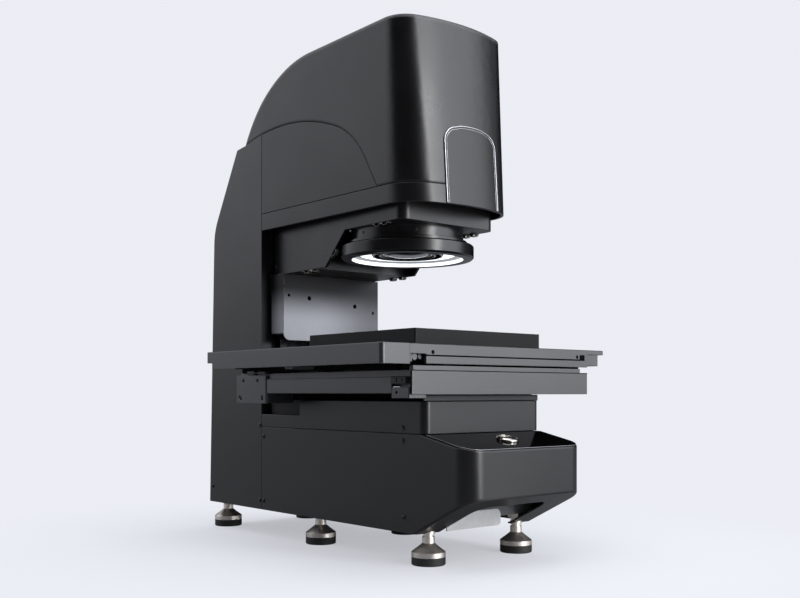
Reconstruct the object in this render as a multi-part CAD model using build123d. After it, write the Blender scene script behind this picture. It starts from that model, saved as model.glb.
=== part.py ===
from build123d import *
from math import atan, atan2, cos, degrees, hypot, radians, sin, sqrt
import os

os.makedirs("parts", exist_ok=True)

# Bench vision measuring machine, in millimetres.
# X runs across the machine, -Y is the front, Z is up. The origin is on the floor, midway between
# the rear of the column and the nose of the base, on the mid plane of the column.

# Clearances
seam = 0.8                  # visible joint between two covers
seat_gap = 0.3              # loose seat between pieces that are not bolted face to face
running_gap = 0.08          # radial play of a screw in its nut
slide_gap = 0.5             # play round a piece that slides

# Covers
cover_width = 242.0
cover_wall = 2.5
head_wall = 3.0
foot_height = 46.0          # underside of the covers
machine_rear = 353.0
machine_front = -353.0
column_front = 168.0        # seam between the column cover and everything in front of it

# Base and its sloping control panel
base_top = 190.0
nose_top = 171.0
nose_bottom = 102.0
underside_break = -242.0
panel_rear = -262.0
nose_corner = 30.0
panel_thickness = 2.2
panel_margin = 2.0
panel_proud = 0.4
notch_width = 148.0         # opening under the nose, open towards the rear
notch_front = -325.0
notch_corner = 22.0

# Power button on the panel
bezel_radius = 17.0
bezel_height = 5.0
button_radius = 12.2
button_height = 3.6
button_travel = 2.5
button_length = 14.0

# Column cover outline in the side view
column_bend = (336.5, 552.0)
column_bend_radius = 90.0
shoulder = (255.0, 688.0)
ledge = (222.0, 691.5)
arc_rise = (166.0, 701.0)
arc_peak = (110.0, 704.0)
arc_fall = (-40.0, 675.0)
arc_end = (-118.0, 608.0)
arc_toe = -162.0            # where the arc runs out at the bottom of the head
front_return = 20.5         # folded-in front edge of the column cover
front_panel_top = 326.0
vent_count = 9
vent_pitch = 11.0
vent_bottom = 380.0
vent_size = (96.0, 4.5)

# Head cover
hood_bottom = 533.0
skirt_height = 29.0
hood_back_radius = 228.0
hood_top_rear = (22.0, 809.0)
hood_top_slope = 0.022
hood_front_width = 226.0    # the sides draw in a little towards the front
hood_side_end = -167.0      # where the side turns into the front corner
hood_lean = 5.0             # how far the front leans back over its height
hood_taper_top = 830.0      # height at which the lean and the upper corners are measured
hood_corner_bottom = 60.0
hood_corner_top = 40.0
hood_front_radius = 300.0
skirt_lip = 5.0
badge_left = -47.0
badge_right = 64.0
badge_top = 652.0
badge_top_corner = 24.0
badge_crown = 5.0
badge_thickness = 1.6
badge_seat = 0.25           # adhesive gap between the badge and the hood

# Riser and Y bed
riser_height = 47.5
riser_front = -262.0
riser_corner = 12.0
riser_notch_length = 117.0
riser_notch_height = 25.0
bed_half_width = 106.0
bed_front = -250.0
bed_rear = 160.0
bed_channel_half_width = 68.0
bed_channel_floor = 195.0

# Guides: profile rails and their carriages
rail_width = 15.0
rail_height = 15.0
guide_height = 24.0         # rail seat to carriage face
guide_width = 34.0
guide_length = 56.0
guide_lift = 4.3            # carriage underside above the rail seat
guide_play = 0.4

# Saddle and table
saddle_thickness = 20.0
saddle_half_width = 174.0
saddle_front = -299.0
saddle_rear = 150.0
saddle_window_half_width = 35.0
saddle_lip_height = 6.0
saddle_lip_depth = 8.0
front_cover_height = 34.0
front_cover_left = -179.0
front_cover_right = 189.0
side_strip_height = 23.0
side_strip_wall = 3.5
table_thickness = 12.0
table_half_width = 232.0
table_front = -300.0
table_rear = 163.0
table_left = -181.0
flange_start = 190.0
flange_thickness = 7.0
table_skirt_drop = 15.5
table_skirt_wall = 5.5
end_cover_drop = 16.5
end_cover_corner = 6.0
glass_size = 236.0
glass_thickness = 5.5
glass_sunk = 0.2
glass_ledge = 8.0
glass_centre = 12.0
y_rail_x = 88.0
y_guides_y = (-12.0, 112.0)
x_rails_y = (-140.0, 138.0)
x_guides_x = (-45.0, 45.0)

# Parts tray that stands on the table
tray_size = 262.0
tray_height = 25.0
tray_wall = 2.0
tray_corner = 3.0
tray_centre = -122.0

# Measuring head
lens_y = -83.0
ring_bottom = 466.0
ring_radius = 108.0
ring_height = 22.0
ring_lamp_radius = 91.0
ring_bore_radius = 55.0
ring_lamp_rise = 6.0
ring_mount_radius = 91.0
ring_tier_radius = 97.0
ring_tier_height = 6.0
lens_radius = 47.0
lens_window_radius = 38.5
lens_front = 476.0
lens_shoulder = 560.0
lens_neck_radius = 24.0
lens_top = 600.0
camera_size = 46.0
camera_height = 46.0

# Arm of the Z axis
arm_half_width = 98.0
arm_wall = 5.0
arm_deep_bottom = 456.0
arm_shallow_bottom = 511.0
arm_break_low = 11.0
arm_break_high = -43.0
arm_front = -186.0
arm_corner = 16.0
arm_top = 590.0
arm_box_front = 32.0
carriage_face = 163.0
carriage_half_width = 90.0
carriage_bottom = 345.0
carriage_top = 575.0
shroud_front = 124.0
shroud_half_width = 104.0
shroud_bottom = 341.0
shroud_corner = 12.0
shroud_holes = ((-93.5, 419.0, 2.6), (-50.4, 416.0, 3.8), (50.4, 407.0, 3.8), (92.3, 397.0, 2.6))
z_rail_x = 62.0
z_rail_span = (325.0, 683.0)
z_guides_z = (375.0, 504.0)

# Castings
casting_wall = 14.0
base_casting_half_width = 110.0
base_casting_bottom = 62.0
base_casting_top = 178.0
casting_nose_front = -328.0
casting_nose_bottom = 112.0
casting_nose_corner = 34.0
column_half_width = 86.0
column_casting_top = 684.0

# Feet
foot_x = 92.0
foot_rows = (331.0, 31.0, -238.0)
foot_radius = 25.0
pad_height = 12.0
band_height = 7.0
cone_height = 12.5
neck_radius = 9.0
groove_radius = 7.0
groove_height = 3.0
stud_radius = 6.5

# Drive screws and motors
screw_radius = 7.0
nut_radius = 13.0
nut_length = 40.0
motor_size = 42.0
small_motor_size = 23.0

# Heights and depths that follow from the sizes above
half = cover_width / 2
bed_top = base_top + riser_height
saddle_bottom = bed_top + guide_height
saddle_top = saddle_bottom + saddle_thickness
table_underside = saddle_top + guide_height
table_top = table_underside + table_thickness
skirt_top = hood_bottom + skirt_height
column_face = carriage_face + 16.0 + guide_height
carriage_back = column_face - guide_height
ring_top = ring_bottom + ring_height
beyond = 1000.0             # past every piece, for cuts that run right through


def save(name, *shapes):
    """Write one node, from one solid or from several separate ones."""
    solids = [solid for shape in shapes for solid in shape.solids()]
    node = solids[0] if len(solids) == 1 else Compound(children=solids)
    export_step(node, f"parts/{name}.step")


def block(x, y, z):
    """A box between low and high values on each axis."""
    size = [high - low for low, high in (x, y, z)]
    centre = [(low + high) / 2 for low, high in (x, y, z)]
    return Pos(*centre) * Box(*size)


def rod(radius, z, x=0.0, y=0.0):
    """An upright cylinder between two heights."""
    return Pos(x, y, (z[0] + z[1]) / 2) * Cylinder(radius, z[1] - z[0])


def tube(outer, inner, z, x=0.0, y=0.0):
    """An upright tube between two heights."""
    return rod(outer, z, x, y) - rod(inner, (z[0] - 1, z[1] + 1), x, y)


def across(face, half_width):
    """A side outline, drawn in Y and Z, pulled out to both sides of the mid plane."""
    return Pos(-half_width, 0, 0) * extrude(Plane.YZ * face, amount=2 * half_width)


def side_face(*edges):
    """A closed side outline from its edges."""
    return make_face(Wire(edges))


def rect(low, high):
    """A rectangle in a side outline, from its low corner to its high corner."""
    centre = ((low[0] + high[0]) / 2, (low[1] + high[1]) / 2)
    return Pos(*centre) * Rectangle(high[0] - low[0], high[1] - low[1])


def mirror_x(shape):
    return mirror(shape, about=Plane.YZ)


# Guides


def rail_section():
    """Profile rail, drawn with its seat on the X axis."""
    w, h = rail_width / 2, rail_height
    right = [(w, 0), (w, h * 0.36), (w - 2, h * 0.5), (w - 2, h * 0.64), (w, h * 0.8), (w, h)]
    left = [(-x, y) for x, y in reversed(right)]
    return make_face(Polyline(*right, *left, close=True))


def guide_section():
    """Carriage round the rail, open towards the rail's seat."""
    body = rect((-guide_width / 2, guide_lift), (guide_width / 2, guide_height))
    return body - offset(rail_section(), guide_play, kind=Kind.INTERSECTION)


def along_y(face, y):
    """A section pulled out along Y, with the section's own up as Z."""
    return Pos(0, y[1], 0) * extrude(Plane.XZ * face, amount=y[1] - y[0])


def along_x(face, x):
    """A section pulled out along X, with the section's own up as Z."""
    return Pos(x[0], 0, 0) * extrude(Plane.YZ * face, amount=x[1] - x[0])


def along_z_facing_front(face, z):
    """A section pulled out along Z, with the section's own up as -Y."""
    return Pos(0, 0, z[0]) * extrude(Rot(0, 0, 180) * face, amount=z[1] - z[0])


def span(centre, length):
    return (centre - length / 2, centre + length / 2)


def make_y_guides():
    rails = along_y(rail_section(), (bed_front + 4, bed_rear - 2))
    save("y_rails", *[Pos(x, 0, bed_top) * rails for x in (-y_rail_x, y_rail_x)])
    carriages = [
        Pos(x, 0, bed_top) * along_y(guide_section(), span(y, guide_length))
        for x in (-y_rail_x, y_rail_x)
        for y in y_guides_y
    ]
    save("y_guide_blocks", *carriages)


def make_x_guides():
    """The X rails hang under the table and their carriages stand on the saddle."""
    flip = Pos(0, 0, table_underside) * Rot(180, 0, 0)
    rail = along_x(rail_section(), (table_left + 6, flange_start - 6))
    save("x_rails", *[Pos(0, y, 0) * flip * rail for y in x_rails_y])
    carriages = [
        Pos(0, y, 0) * flip * along_x(guide_section(), span(x, guide_length))
        for y in x_rails_y
        for x in x_guides_x
    ]
    save("x_guide_blocks", *carriages)


def make_z_guides():
    rail = along_z_facing_front(rail_section(), z_rail_span)
    save("z_rails", *[Pos(x, column_face, 0) * rail for x in (-z_rail_x, z_rail_x)])
    carriages = [
        Pos(x, column_face, 0) * along_z_facing_front(guide_section(), span(z, guide_length))
        for x in (-z_rail_x, z_rail_x)
        for z in z_guides_z
    ]
    save("z_guide_blocks", *carriages)


# Castings


def make_base_casting():
    """Ribbed iron box that carries everything, with a rounded nose behind the notch of the cover."""
    y = (bed_front - 5, machine_rear - 10)
    z = (base_casting_bottom, base_casting_top)
    x = base_casting_half_width
    body = block((-x, x), y, z)
    inner_x = x - casting_wall
    pocket = block(
        (-inner_x, inner_x),
        (y[0] + casting_wall, y[1] - casting_wall),
        (z[0] - 1, z[1] - casting_wall),
    )
    body -= pocket
    rib = casting_wall - 2
    body += block((-rib / 2, rib / 2), (y[0] + 1, y[1] - 1), (z[0] + 8, z[1] - 1))
    for row in foot_rows[1:]:
        body += block((-x + 1, x - 1), span(row, rib), (z[0] + 8, z[1] - 1))
    for row in foot_rows:
        centre = min(row, y[1] - 18)
        for side in (-1, 1):
            body += rod(18, z, side * foot_x, centre)
    nose = Pos(0, (casting_nose_front + y[0]) / 2, 0) * RectangleRounded(
        2 * (x - 16), y[0] - casting_nose_front + 60, casting_nose_corner
    )
    nose = Pos(0, 30, casting_nose_bottom) * extrude(nose, amount=28)
    body += nose & block((-x, x), (casting_nose_front, y[0] + 1), (0, beyond))
    for row in foot_rows:
        for side in (-1, 1):
            body -= rod(stud_radius + seat_gap / 2, (z[0] - 1, z[0] + 50), side * foot_x, row)
    body -= block((-74, 74), (machine_rear - 40, machine_rear), (z[0] - 1, 138))
    save("base_casting", body)


def make_column_casting():
    """Upright C section with ribs, open at the back, with a foot flange on the base casting."""
    rear_low, rear_mid, rear_high = 325.0, 318.0, 246.0
    outline = Polyline(
        (column_face, base_casting_top),
        (rear_low, base_casting_top),
        (rear_mid, 545),
        (rear_high, 664),
        (rear_high, column_casting_top),
        (column_face, column_casting_top),
        close=True,
    )
    body = across(make_face(outline), column_half_width)
    rib_count = 4
    first, last = base_casting_top + 20, column_casting_top - 12
    pitch = (last - first) / rib_count
    for i in range(rib_count):
        low = first + i * pitch
        body -= block(
            (-column_half_width + casting_wall, column_half_width - casting_wall),
            (column_face + casting_wall, machine_rear),
            (low, low + pitch - 12),
        )
    body += block(
        (-column_half_width - 16, column_half_width + 16),
        (column_face, rear_low + 8),
        (base_casting_top, base_casting_top + 18),
    )
    body -= block((-20, 20), (column_face - 1, column_face + 7), (320, column_casting_top + 1))
    body -= block((-30, 30), (column_face - 1, column_face + 13), (248, 320))
    save("column_casting", body)


def make_y_bed():
    """Bed of the Y axis inside the riser, with a channel for the screw and the lamp."""
    body = block((-bed_half_width, bed_half_width), (bed_front, bed_rear), (base_casting_top, bed_top))
    body -= block(
        (-bed_channel_half_width, bed_channel_half_width),
        (bed_front + casting_wall, bed_rear - casting_wall),
        (bed_channel_floor, bed_top + 1),
    )
    body = fillet(body.edges().filter_by(Axis.Z).group_by(Axis.Y)[0], 8)
    save("y_bed", body)


# Covers of the base


def base_side_outline(inset=0.0):
    points = Polyline(
        (column_front - seam / 2, foot_height),
        (underside_break, foot_height),
        (machine_front, nose_bottom),
        (machine_front, nose_top),
        (panel_rear, base_top),
        (column_front - seam / 2, base_top),
        close=True,
    )
    face = make_face(points)
    return offset(face, -inset, kind=Kind.INTERSECTION) if inset else face


def base_plan(inset=0.0):
    """Plan of the base from the column seam to the nose, with its two round front corners."""
    x = half - inset
    y = (machine_front + inset, column_front + 100)
    corner = nose_corner - inset
    body = block((-x, x), y, (0, beyond))
    return fillet(body.edges().filter_by(Axis.Z).group_by(Axis.Y)[0], corner)


panel_plane = Plane(
    origin=(0, panel_rear, base_top),
    x_dir=(1, 0, 0),
    z_dir=(0, nose_top - base_top, panel_rear - machine_front),
)
panel_length = hypot(panel_rear - machine_front, base_top - nose_top)
button_place = panel_plane * Pos(0, -panel_length / 2, 0)


def panel_slab(low, high):
    """A slab parallel to the control panel, between two heights above it."""
    size = 2 * panel_length
    return panel_plane * Pos(0, -size / 2, (low + high) / 2) * Box(cover_width + 10, size, high - low)


def make_base_cover():
    """Sheet cover round the base, with the sloping nose, the panel recess and the notch under it."""
    body = across(base_side_outline(), half) & base_plan()
    nose_edges = body.edges().filter_by(lambda e: abs(e.center().Y - machine_front) < 0.5)
    nose_edges = nose_edges.filter_by(Axis.X)
    body = fillet(nose_edges, 4)
    hollow = across(base_side_outline(cover_wall), half - cover_wall) & base_plan(cover_wall)
    shelf = panel_slab(-cover_wall - panel_thickness, 20) & block((-half, half), (-beyond, panel_rear), (0, beyond))
    body -= hollow - shelf
    inner_x = half - cover_wall
    open_bottom = (underside_break + 4, column_front)
    open_top = (panel_rear + 10, column_front)
    body -= block((-inner_x, inner_x), open_bottom, (0, foot_height + 10))
    body -= block((-inner_x, inner_x), open_top, (base_top - 10, beyond))
    body -= block((-inner_x, inner_x), (column_front - 10, column_front + 1), (0, beyond))
    recess = panel_slab(-panel_thickness, 20) & base_plan(panel_margin - 0.3)
    body -= recess & block((-half, half), (-beyond, panel_rear - 1.2), (0, beyond))
    notch_x = (-notch_width / 2, notch_width / 2)
    notch = block(notch_x, (notch_front, underside_break + 12), (0, nose_bottom + 10))
    body -= fillet(notch.edges().filter_by(Axis.Z).group_by(Axis.Y)[0], notch_corner)
    for side in (-1, 1):
        body -= rod(neck_radius + 1.5, (0, foot_height + 20), side * foot_x, foot_rows[-1])
    body -= button_place * Cylinder(button_radius + 1.4 + slide_gap, 40)
    save("base_cover", body)


def make_control_panel():
    slab = panel_slab(-panel_thickness + seat_gap / 3, panel_proud)
    body = slab & base_plan(panel_margin) & block((-half, half), (-beyond, panel_rear - 1.8), (0, beyond))
    body -= button_place * Cylinder(button_radius + 1.4 + slide_gap, 40)
    save("control_panel", body)


def make_power_button():
    """Round push button in a raised ring, over a switch body behind the panel."""
    low = -cover_wall - panel_thickness
    ring = Pos(0, 0, (panel_proud + bezel_height) / 2) * Cylinder(bezel_radius, bezel_height - panel_proud)
    ring = chamfer(ring.edges().group_by(Axis.Z)[-1], 1.8)
    ring += Pos(0, 0, (low - 6 + 1) / 2) * Cylinder(button_radius + 1.4, 1 - low + 6)
    ring -= Cylinder(button_radius + seat_gap, 60)
    save("power_button_ring", button_place * ring)

    cap_centre = button_height - button_length / 2
    cap = Pos(0, 0, cap_centre) * Cylinder(button_radius, button_length)
    cap = chamfer(cap.edges().group_by(Axis.Z)[-1], 0.9)
    save("power_button", button_place * cap)

    switch_top = button_height - button_length - button_travel - 0.6
    switch_height = 12.0
    switch = Pos(0, 0, switch_top - switch_height / 2) * Box(31, 31, switch_height)
    collar_top = low - 6.2
    collar = Cylinder(15.4, collar_top - switch_top + 1) - Cylinder(button_radius + slide_gap, 40)
    switch += Pos(0, 0, (collar_top + switch_top - 1) / 2) * collar
    save("power_switch", button_place * switch)


def make_riser_cover():
    """Band of sheet between the base and the moving saddle, notched beside the column."""
    z = (base_top + seam, bed_top)
    y = (riser_front, column_front - seam / 2)

    def ring(inset, low, high):
        body = block((-half + inset, half - inset), (y[0] + inset, y[1] + 60), (low, high))
        return fillet(body.edges().filter_by(Axis.Z).group_by(Axis.Y)[0], riser_corner - inset)

    body = ring(0, *z) - ring(cover_wall, z[0] - 1, z[1] - cover_wall)
    opening = bed_half_width + seat_gap
    body -= block((-opening, opening), (bed_front - seat_gap, y[1] + 80), (z[0] - 1, z[1] + 1))
    body &= block((-half, half), y, (0, beyond))
    notch = block(
        (-half - 1, half + 1),
        (y[1] - riser_notch_length, y[1] + 1),
        (z[1] - riser_notch_height, z[1] + 1),
    )
    body -= notch
    save("riser_cover", body)


# Covers of the column and the head


def arc_on(edge, end):
    """An arc that carries on smoothly from the end of an edge."""
    return TangentArc(edge @ 1, end, tangent=edge % 1)


def lower_outline():
    """Side outline of base rear, column and cheeks, up to the arc that the head cover meets."""
    toe = (arc_toe, hood_bottom)
    rise = ThreePointArc(ledge, arc_rise, arc_peak)
    fall = arc_on(rise, arc_fall)
    drop = arc_on(fall, arc_end)
    edges = [
        Line(shoulder, ledge),
        rise,
        fall,
        drop,
        Line(arc_end, toe),
        Line(toe, (arc_toe, foot_height)),
        Line((arc_toe, foot_height), (machine_rear, foot_height)),
        Line((machine_rear, foot_height), column_bend),
        Line(column_bend, shoulder),
    ]
    face = side_face(*edges)
    bend = [v for v in face.vertices() if hypot(v.X - column_bend[0], v.Y - column_bend[1]) < 1]
    return fillet(bend, column_bend_radius)


def make_column_cover():
    """Folded cover round the back and sides of the column, with vents and a connector opening."""
    behind = rect((column_front + seam / 2, 0), (beyond, beyond))
    outline = lower_outline()
    body = across(outline & behind, half)
    rear_edges = [
        e
        for e in body.edges()
        if abs(abs(e.center().X) - half) < 0.01 and e.center().Y > 280 and e.length > 100
    ]
    body = fillet(rear_edges, 5)
    inner = offset(outline, -cover_wall, kind=Kind.INTERSECTION)
    inner += rect((100, foot_height - 10), (machine_rear - cover_wall - 1, foot_height + 10))
    inner += rect((100, foot_height), (ledge[0], beyond))
    body -= across(inner, half - cover_wall)
    front = (column_front + seam / 2, column_front + seam / 2 + cover_wall)
    for side in (-1, 1):
        x = sorted((side * (half - front_return), side * (half - 1)))
        body += block(x, front, (front_panel_top + seam, hood_bottom))
    for i in range(vent_count):
        slot = extrude(SlotOverall(*vent_size), amount=60, both=True)
        body -= Pos(0, machine_rear, vent_bottom + i * vent_pitch) * Rot(90, 0, 0) * slot
    body -= block((-62, 62), (330, 380), (74, 128))
    save("column_cover", body)

    inside = half - cover_wall - seat_gap
    panel = block((-inside, inside), front, (base_top + 2, front_panel_top))
    save("column_front_panel", panel)


def arc_point(centre, radius, angle):
    """A point on a circle, with the angle in degrees from +X."""
    return (centre[0] + radius * cos(radians(angle)), centre[1] + radius * sin(radians(angle)))


def head_plan(corner, side_end, inset=0.0):
    """Plan of the head: sides that draw in, two corners and a gently bowed front, all tangent."""
    r = corner - inset
    big_r = hood_front_radius - inset
    draw_in = (half - hood_front_width / 2) / (column_front - side_end)
    side_angle = -atan(draw_in)
    corner_centre = arc_point((hood_front_width / 2, side_end), -corner, degrees(side_angle))
    reach = corner_centre[0]
    bow_centre = (0, corner_centre[1] + sqrt((hood_front_radius - corner) ** 2 - reach**2))
    meet_angle = degrees(atan2(corner_centre[1] - bow_centre[1], reach))
    start = arc_point(corner_centre, r, degrees(side_angle))
    middle = arc_point(corner_centre, r, (degrees(side_angle) + meet_angle) / 2)
    meet = arc_point(corner_centre, r, meet_angle)
    rear_y = machine_rear
    rear = (start[0] + draw_in * (rear_y - start[1]), rear_y)

    def flip(point):
        return (-point[0], point[1])

    edges = [
        Line(rear, start),
        ThreePointArc(start, middle, meet),
        ThreePointArc(meet, (0, bow_centre[1] - big_r), flip(meet)),
        ThreePointArc(flip(meet), flip(middle), flip(start)),
        Line(flip(start), flip(rear)),
        Line(flip(rear), rear),
    ]
    return make_face(Wire(edges))


def head_block(inset=0.0):
    """Tapering body of the head: its front leans back a little towards the top."""
    low, high = hood_bottom, hood_taper_top
    return loft(
        [
            Pos(0, 0, low) * head_plan(hood_corner_bottom, hood_side_end, inset),
            Pos(0, 0, high) * head_plan(hood_corner_top, hood_side_end + hood_lean, inset),
        ],
        ruled=True,
    )


def head_side_outline():
    """Side outline of the head above the column: a round back, then a nearly flat top."""
    foot = (ledge[0], hood_bottom - 20)
    centre = (hood_top_rear[0], hood_top_rear[1] - hood_back_radius)
    reach = ledge[0] - centre[0]
    start = (ledge[0], centre[1] + sqrt(hood_back_radius**2 - reach**2))
    middle = arc_point(centre, hood_back_radius, 62)
    front = (machine_front, hood_top_rear[1] + hood_top_slope * (hood_top_rear[0] - machine_front))
    edges = [
        Line(foot, start),
        ThreePointArc(start, middle, hood_top_rear),
        Line(hood_top_rear, front),
        Line(front, (front[0], foot[1])),
        Line((front[0], foot[1]), foot),
    ]
    return side_face(*edges)


def head_shell():
    """The whole head as one thin shell, open below. The hood, cheeks and skirt are cut from it."""
    outline = head_side_outline()
    outer = across(outline, half) & head_block()
    inner = offset(outline, -head_wall, kind=Kind.INTERSECTION)
    inner += rect((machine_front + 10, hood_bottom - 40), (ledge[0] - head_wall, hood_bottom + 10))
    return outer - (across(inner, half - head_wall) & head_block(head_wall))


def make_head_covers():
    """Hood, two cheeks, the skirt band under them and the bare badge plate on the front."""
    shell = head_shell()
    arc_side = lower_outline()
    joint = seam / 2

    above = rect((machine_front, skirt_top + joint), (beyond, beyond)) - offset(arc_side, joint)
    hood = shell & across(above, half + 1)
    save("hood", hood)

    in_front = rect((machine_front, skirt_top + joint), (column_front - joint, beyond))
    cheek_zone = offset(arc_side, -joint) & in_front
    cheeks = shell & across(cheek_zone, half + 1)
    left = cheeks & block((-half - 1, 0), (-beyond, beyond), (0, beyond))
    save("cheek_left", left)
    save("cheek_right", mirror_x(left))

    save("head_skirt", head_skirt())
    make_badge_plate()


def head_skirt():
    """Band round the bottom of the head, with a lip folded inwards."""
    zone = rect((machine_front, hood_bottom), (column_front - seam / 2, skirt_top - seam / 2))
    hollow = rect((machine_front, hood_bottom + head_wall), (beyond, beyond))
    mouth = Pos(0, 0, hood_bottom - 1) * head_plan(hood_corner_bottom, hood_side_end, skirt_lip)
    body = head_block() & across(zone, half + 1)
    body -= head_block(head_wall) & across(hollow, half)
    return body - extrude(mouth, amount=skirt_height)


def make_badge_plate():
    """Bare plate with round top corners on the front of the head, down to the skirt's lower edge."""
    shape = rect((badge_left, hood_bottom + 0.5), (badge_right, badge_top))
    shape = fillet(shape.vertices().group_by(Axis.Y)[-1], badge_top_corner)
    shape += Pos((badge_left + badge_right) / 2, badge_top - 0.5) * Ellipse(
        (badge_right - badge_left) / 2 - badge_top_corner, badge_crown
    )
    prism = extrude(Plane.XZ * shape, amount=beyond)
    outer = Pos(0, -badge_thickness - badge_seat, 0) * head_block()
    inner = Pos(0, -badge_seat, 0) * head_block()
    body = (outer - inner) & prism & block((-half, half), (-beyond, hood_side_end), (0, beyond))
    save("badge_plate", body)


# Saddle


def make_saddle():
    """Moving plate of the Y axis, with a window over the lamp and a raised lip at the front."""
    x, z = (-saddle_half_width, saddle_half_width), (saddle_bottom, saddle_top)
    body = block(x, (saddle_front, saddle_rear), z)
    window_y = (lens_y - 30, lens_y + 225)
    w = saddle_window_half_width
    body -= block((-w, w), window_y, (z[0] - 1, z[1] + 1))
    lip_y = (saddle_front, saddle_front + saddle_lip_depth)
    body += block(x, lip_y, (z[1] - 1, z[1] + saddle_lip_height))
    pocket_depth = 8
    for side in (-1, 1):
        for y in (-215, -165):
            body -= block(
                tuple(sorted((side * 60, side * 160))), span(y, 38), (z[0] - 1, z[0] + pocket_depth)
            )
    body -= block((-120, 120), span(-245, 12), (z[1] - 6, z[1] + 1))
    save("y_saddle", body)


def make_saddle_covers():
    """Front cover, two side strips and the blocks that close their ends."""
    front_z = (saddle_top - front_cover_height, saddle_top - seam)
    x = (front_cover_left, front_cover_right)
    front = block(x, (saddle_front - cover_wall - seat_gap, saddle_front - seat_gap), front_z)
    front = fillet(front.edges().filter_by(Axis.Z).group_by(Axis.Y)[0], 2)
    foot_z = (front_z[0], front_z[0] + cover_wall)
    front += block((-140, 140), (saddle_front - cover_wall, saddle_front + 14), foot_z)
    save("saddle_front_cover", front)

    strip_x = (-saddle_half_width - side_strip_wall - seat_gap, -saddle_half_width - seat_gap)
    strip_z = (saddle_top - 9.5 - side_strip_height, saddle_top - 9.5)
    strip = block(strip_x, (-257, 62), strip_z)
    strip += block((strip_x[0], strip_x[1] + 18), (-257, 62), (strip_z[0], strip_z[0] + cover_wall))
    save("saddle_side_strips", strip, mirror_x(strip))

    clip = block((strip_x[0] - 2, strip_x[0] + 30), (-297, -259), (saddle_bottom - 19, saddle_bottom - 4))
    clip = fillet(clip.edges().filter_by(Axis.Z), 2)
    clip += block((strip_x[0] + 10, strip_x[0] + 28), (-292, -264), (saddle_bottom - 5, saddle_bottom))
    clip -= Pos(strip_x[0], -270, saddle_bottom - 11) * Rot(0, 90, 0) * Cylinder(2.2, 12)
    save("saddle_end_clip", clip)

    side = strip_x[0] - 1
    housing = block((side, -half - 5), (63, 157), (saddle_bottom - 29, saddle_bottom - 1))
    housing += block((side, side + 3.5), (63, 157), (saddle_bottom - 29, saddle_top - 3))
    housing = fillet(housing.edges().filter_by(Axis.Z).group_by(Axis.X)[0], 3)
    housing += block((-170, -132), (80, 140), (saddle_bottom - 2, saddle_bottom))
    for y in (75, 141):
        housing -= Pos(side, y, saddle_bottom - 22) * Rot(0, 90, 0) * Cylinder(2.4, 12)
    save("saddle_drive_housing", housing)


# Table


def make_table():
    """Top plate of the X axis: a glass window, front and rear skirts and a thin right flange."""
    z = (table_underside, table_top)
    body = block((table_left, table_half_width), (table_front, table_rear), z)
    body = fillet(body.edges().filter_by(Axis.Z).group_by(Axis.X)[-1], 4)
    below_flange = (z[0] - 1, z[1] - flange_thickness)
    body -= block((flange_start, table_half_width + 1), (table_front - 1, table_rear + 1), below_flange)
    skirt_z = (z[0] - table_skirt_drop, z[0] + 1)
    front_skirt = block((table_left, flange_start), (table_front, table_front + table_skirt_wall), skirt_z)
    notch = block((table_left - 1, table_left + 30), (table_front - 1, table_front + 10), (0, z[0] - 2))
    body += front_skirt - notch
    body += block((table_left, flange_start), (table_rear - table_skirt_wall, table_rear), skirt_z)
    hole = glass_size - 2 * glass_ledge
    body -= block(
        (-hole / 2, hole / 2), span(glass_centre, hole), (z[0] - 1, z[1] + 1)
    )
    pocket = glass_size + 2 * seat_gap
    pocket_z = (z[1] - glass_thickness - glass_sunk, z[1] + 1)
    body -= block((-pocket / 2, pocket / 2), span(glass_centre, pocket), pocket_z)
    top_edges = body.edges().group_by(Axis.Z)[-1].filter_by(
        lambda e: abs(e.center().Y - table_front) < 0.1 or abs(e.center().Y - table_rear) < 0.1
    )
    body = chamfer(top_edges, 1.0)
    save("x_table", body)

    glass_top = table_top - glass_sunk
    glass_x = (-glass_size / 2, glass_size / 2)
    glass = block(glass_x, span(glass_centre, glass_size), (glass_top - glass_thickness, glass_top))
    glass = fillet(glass.edges().filter_by(Axis.Z), 1)
    save("table_glass", glass)


def make_table_covers():
    """Deep cover round the left end of the table, and the block under the right flange."""
    x = (-table_half_width, table_left - seam)
    y = (table_front - 1.5, table_rear + 1.5)
    z = (table_underside - end_cover_drop, table_top)
    body = block(x, y, z)
    body = fillet(body.edges().filter_by(Axis.Z).group_by(Axis.X)[0], end_cover_corner)
    body = fillet(body.edges().group_by(Axis.Z)[-1].filter_by(Axis.Y).group_by(Axis.X)[0], 1.2)
    inner_y = (y[0] + cover_wall, y[1] - cover_wall)
    body -= block((x[0] + cover_wall, x[1] + 1), inner_y, (z[0] - 1, z[1] - cover_wall))
    body -= block((x[0] - 1, x[1] + 1), (y[1] - 20, y[1] + 1), (z[0] - 1, z[0] + 10))
    save("table_end_cover", body)

    flange_underside = table_top - flange_thickness
    stop_x = (flange_start + 1, table_half_width - 12)
    stop_y = (table_front + 2, table_front + 38)
    stop = block(stop_x, stop_y, (table_underside - 13, flange_underside))
    stop = fillet(stop.edges().filter_by(Axis.Z), 2)
    save("table_end_block", stop)

    y = (table_front + table_skirt_wall + seat_gap, table_front + 22)
    bracket = block((table_left + 3, table_left + 9), y, (table_underside - 13, table_underside))
    for dx, radius in ((14, 5), (24, 3.5)):
        roller = Rot(90, 0, 0) * Cylinder(radius, 8)
        roller = Pos(table_left + dx, table_front + 10.4, table_underside - 6) * roller
        arm = block(
            (table_left + dx - 2.5, table_left + dx + 2.5),
            (table_front + 14, table_front + 18),
            (table_underside - 9, table_underside),
        )
        bracket += roller + arm
    save("table_roller_bracket", bracket)


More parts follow.
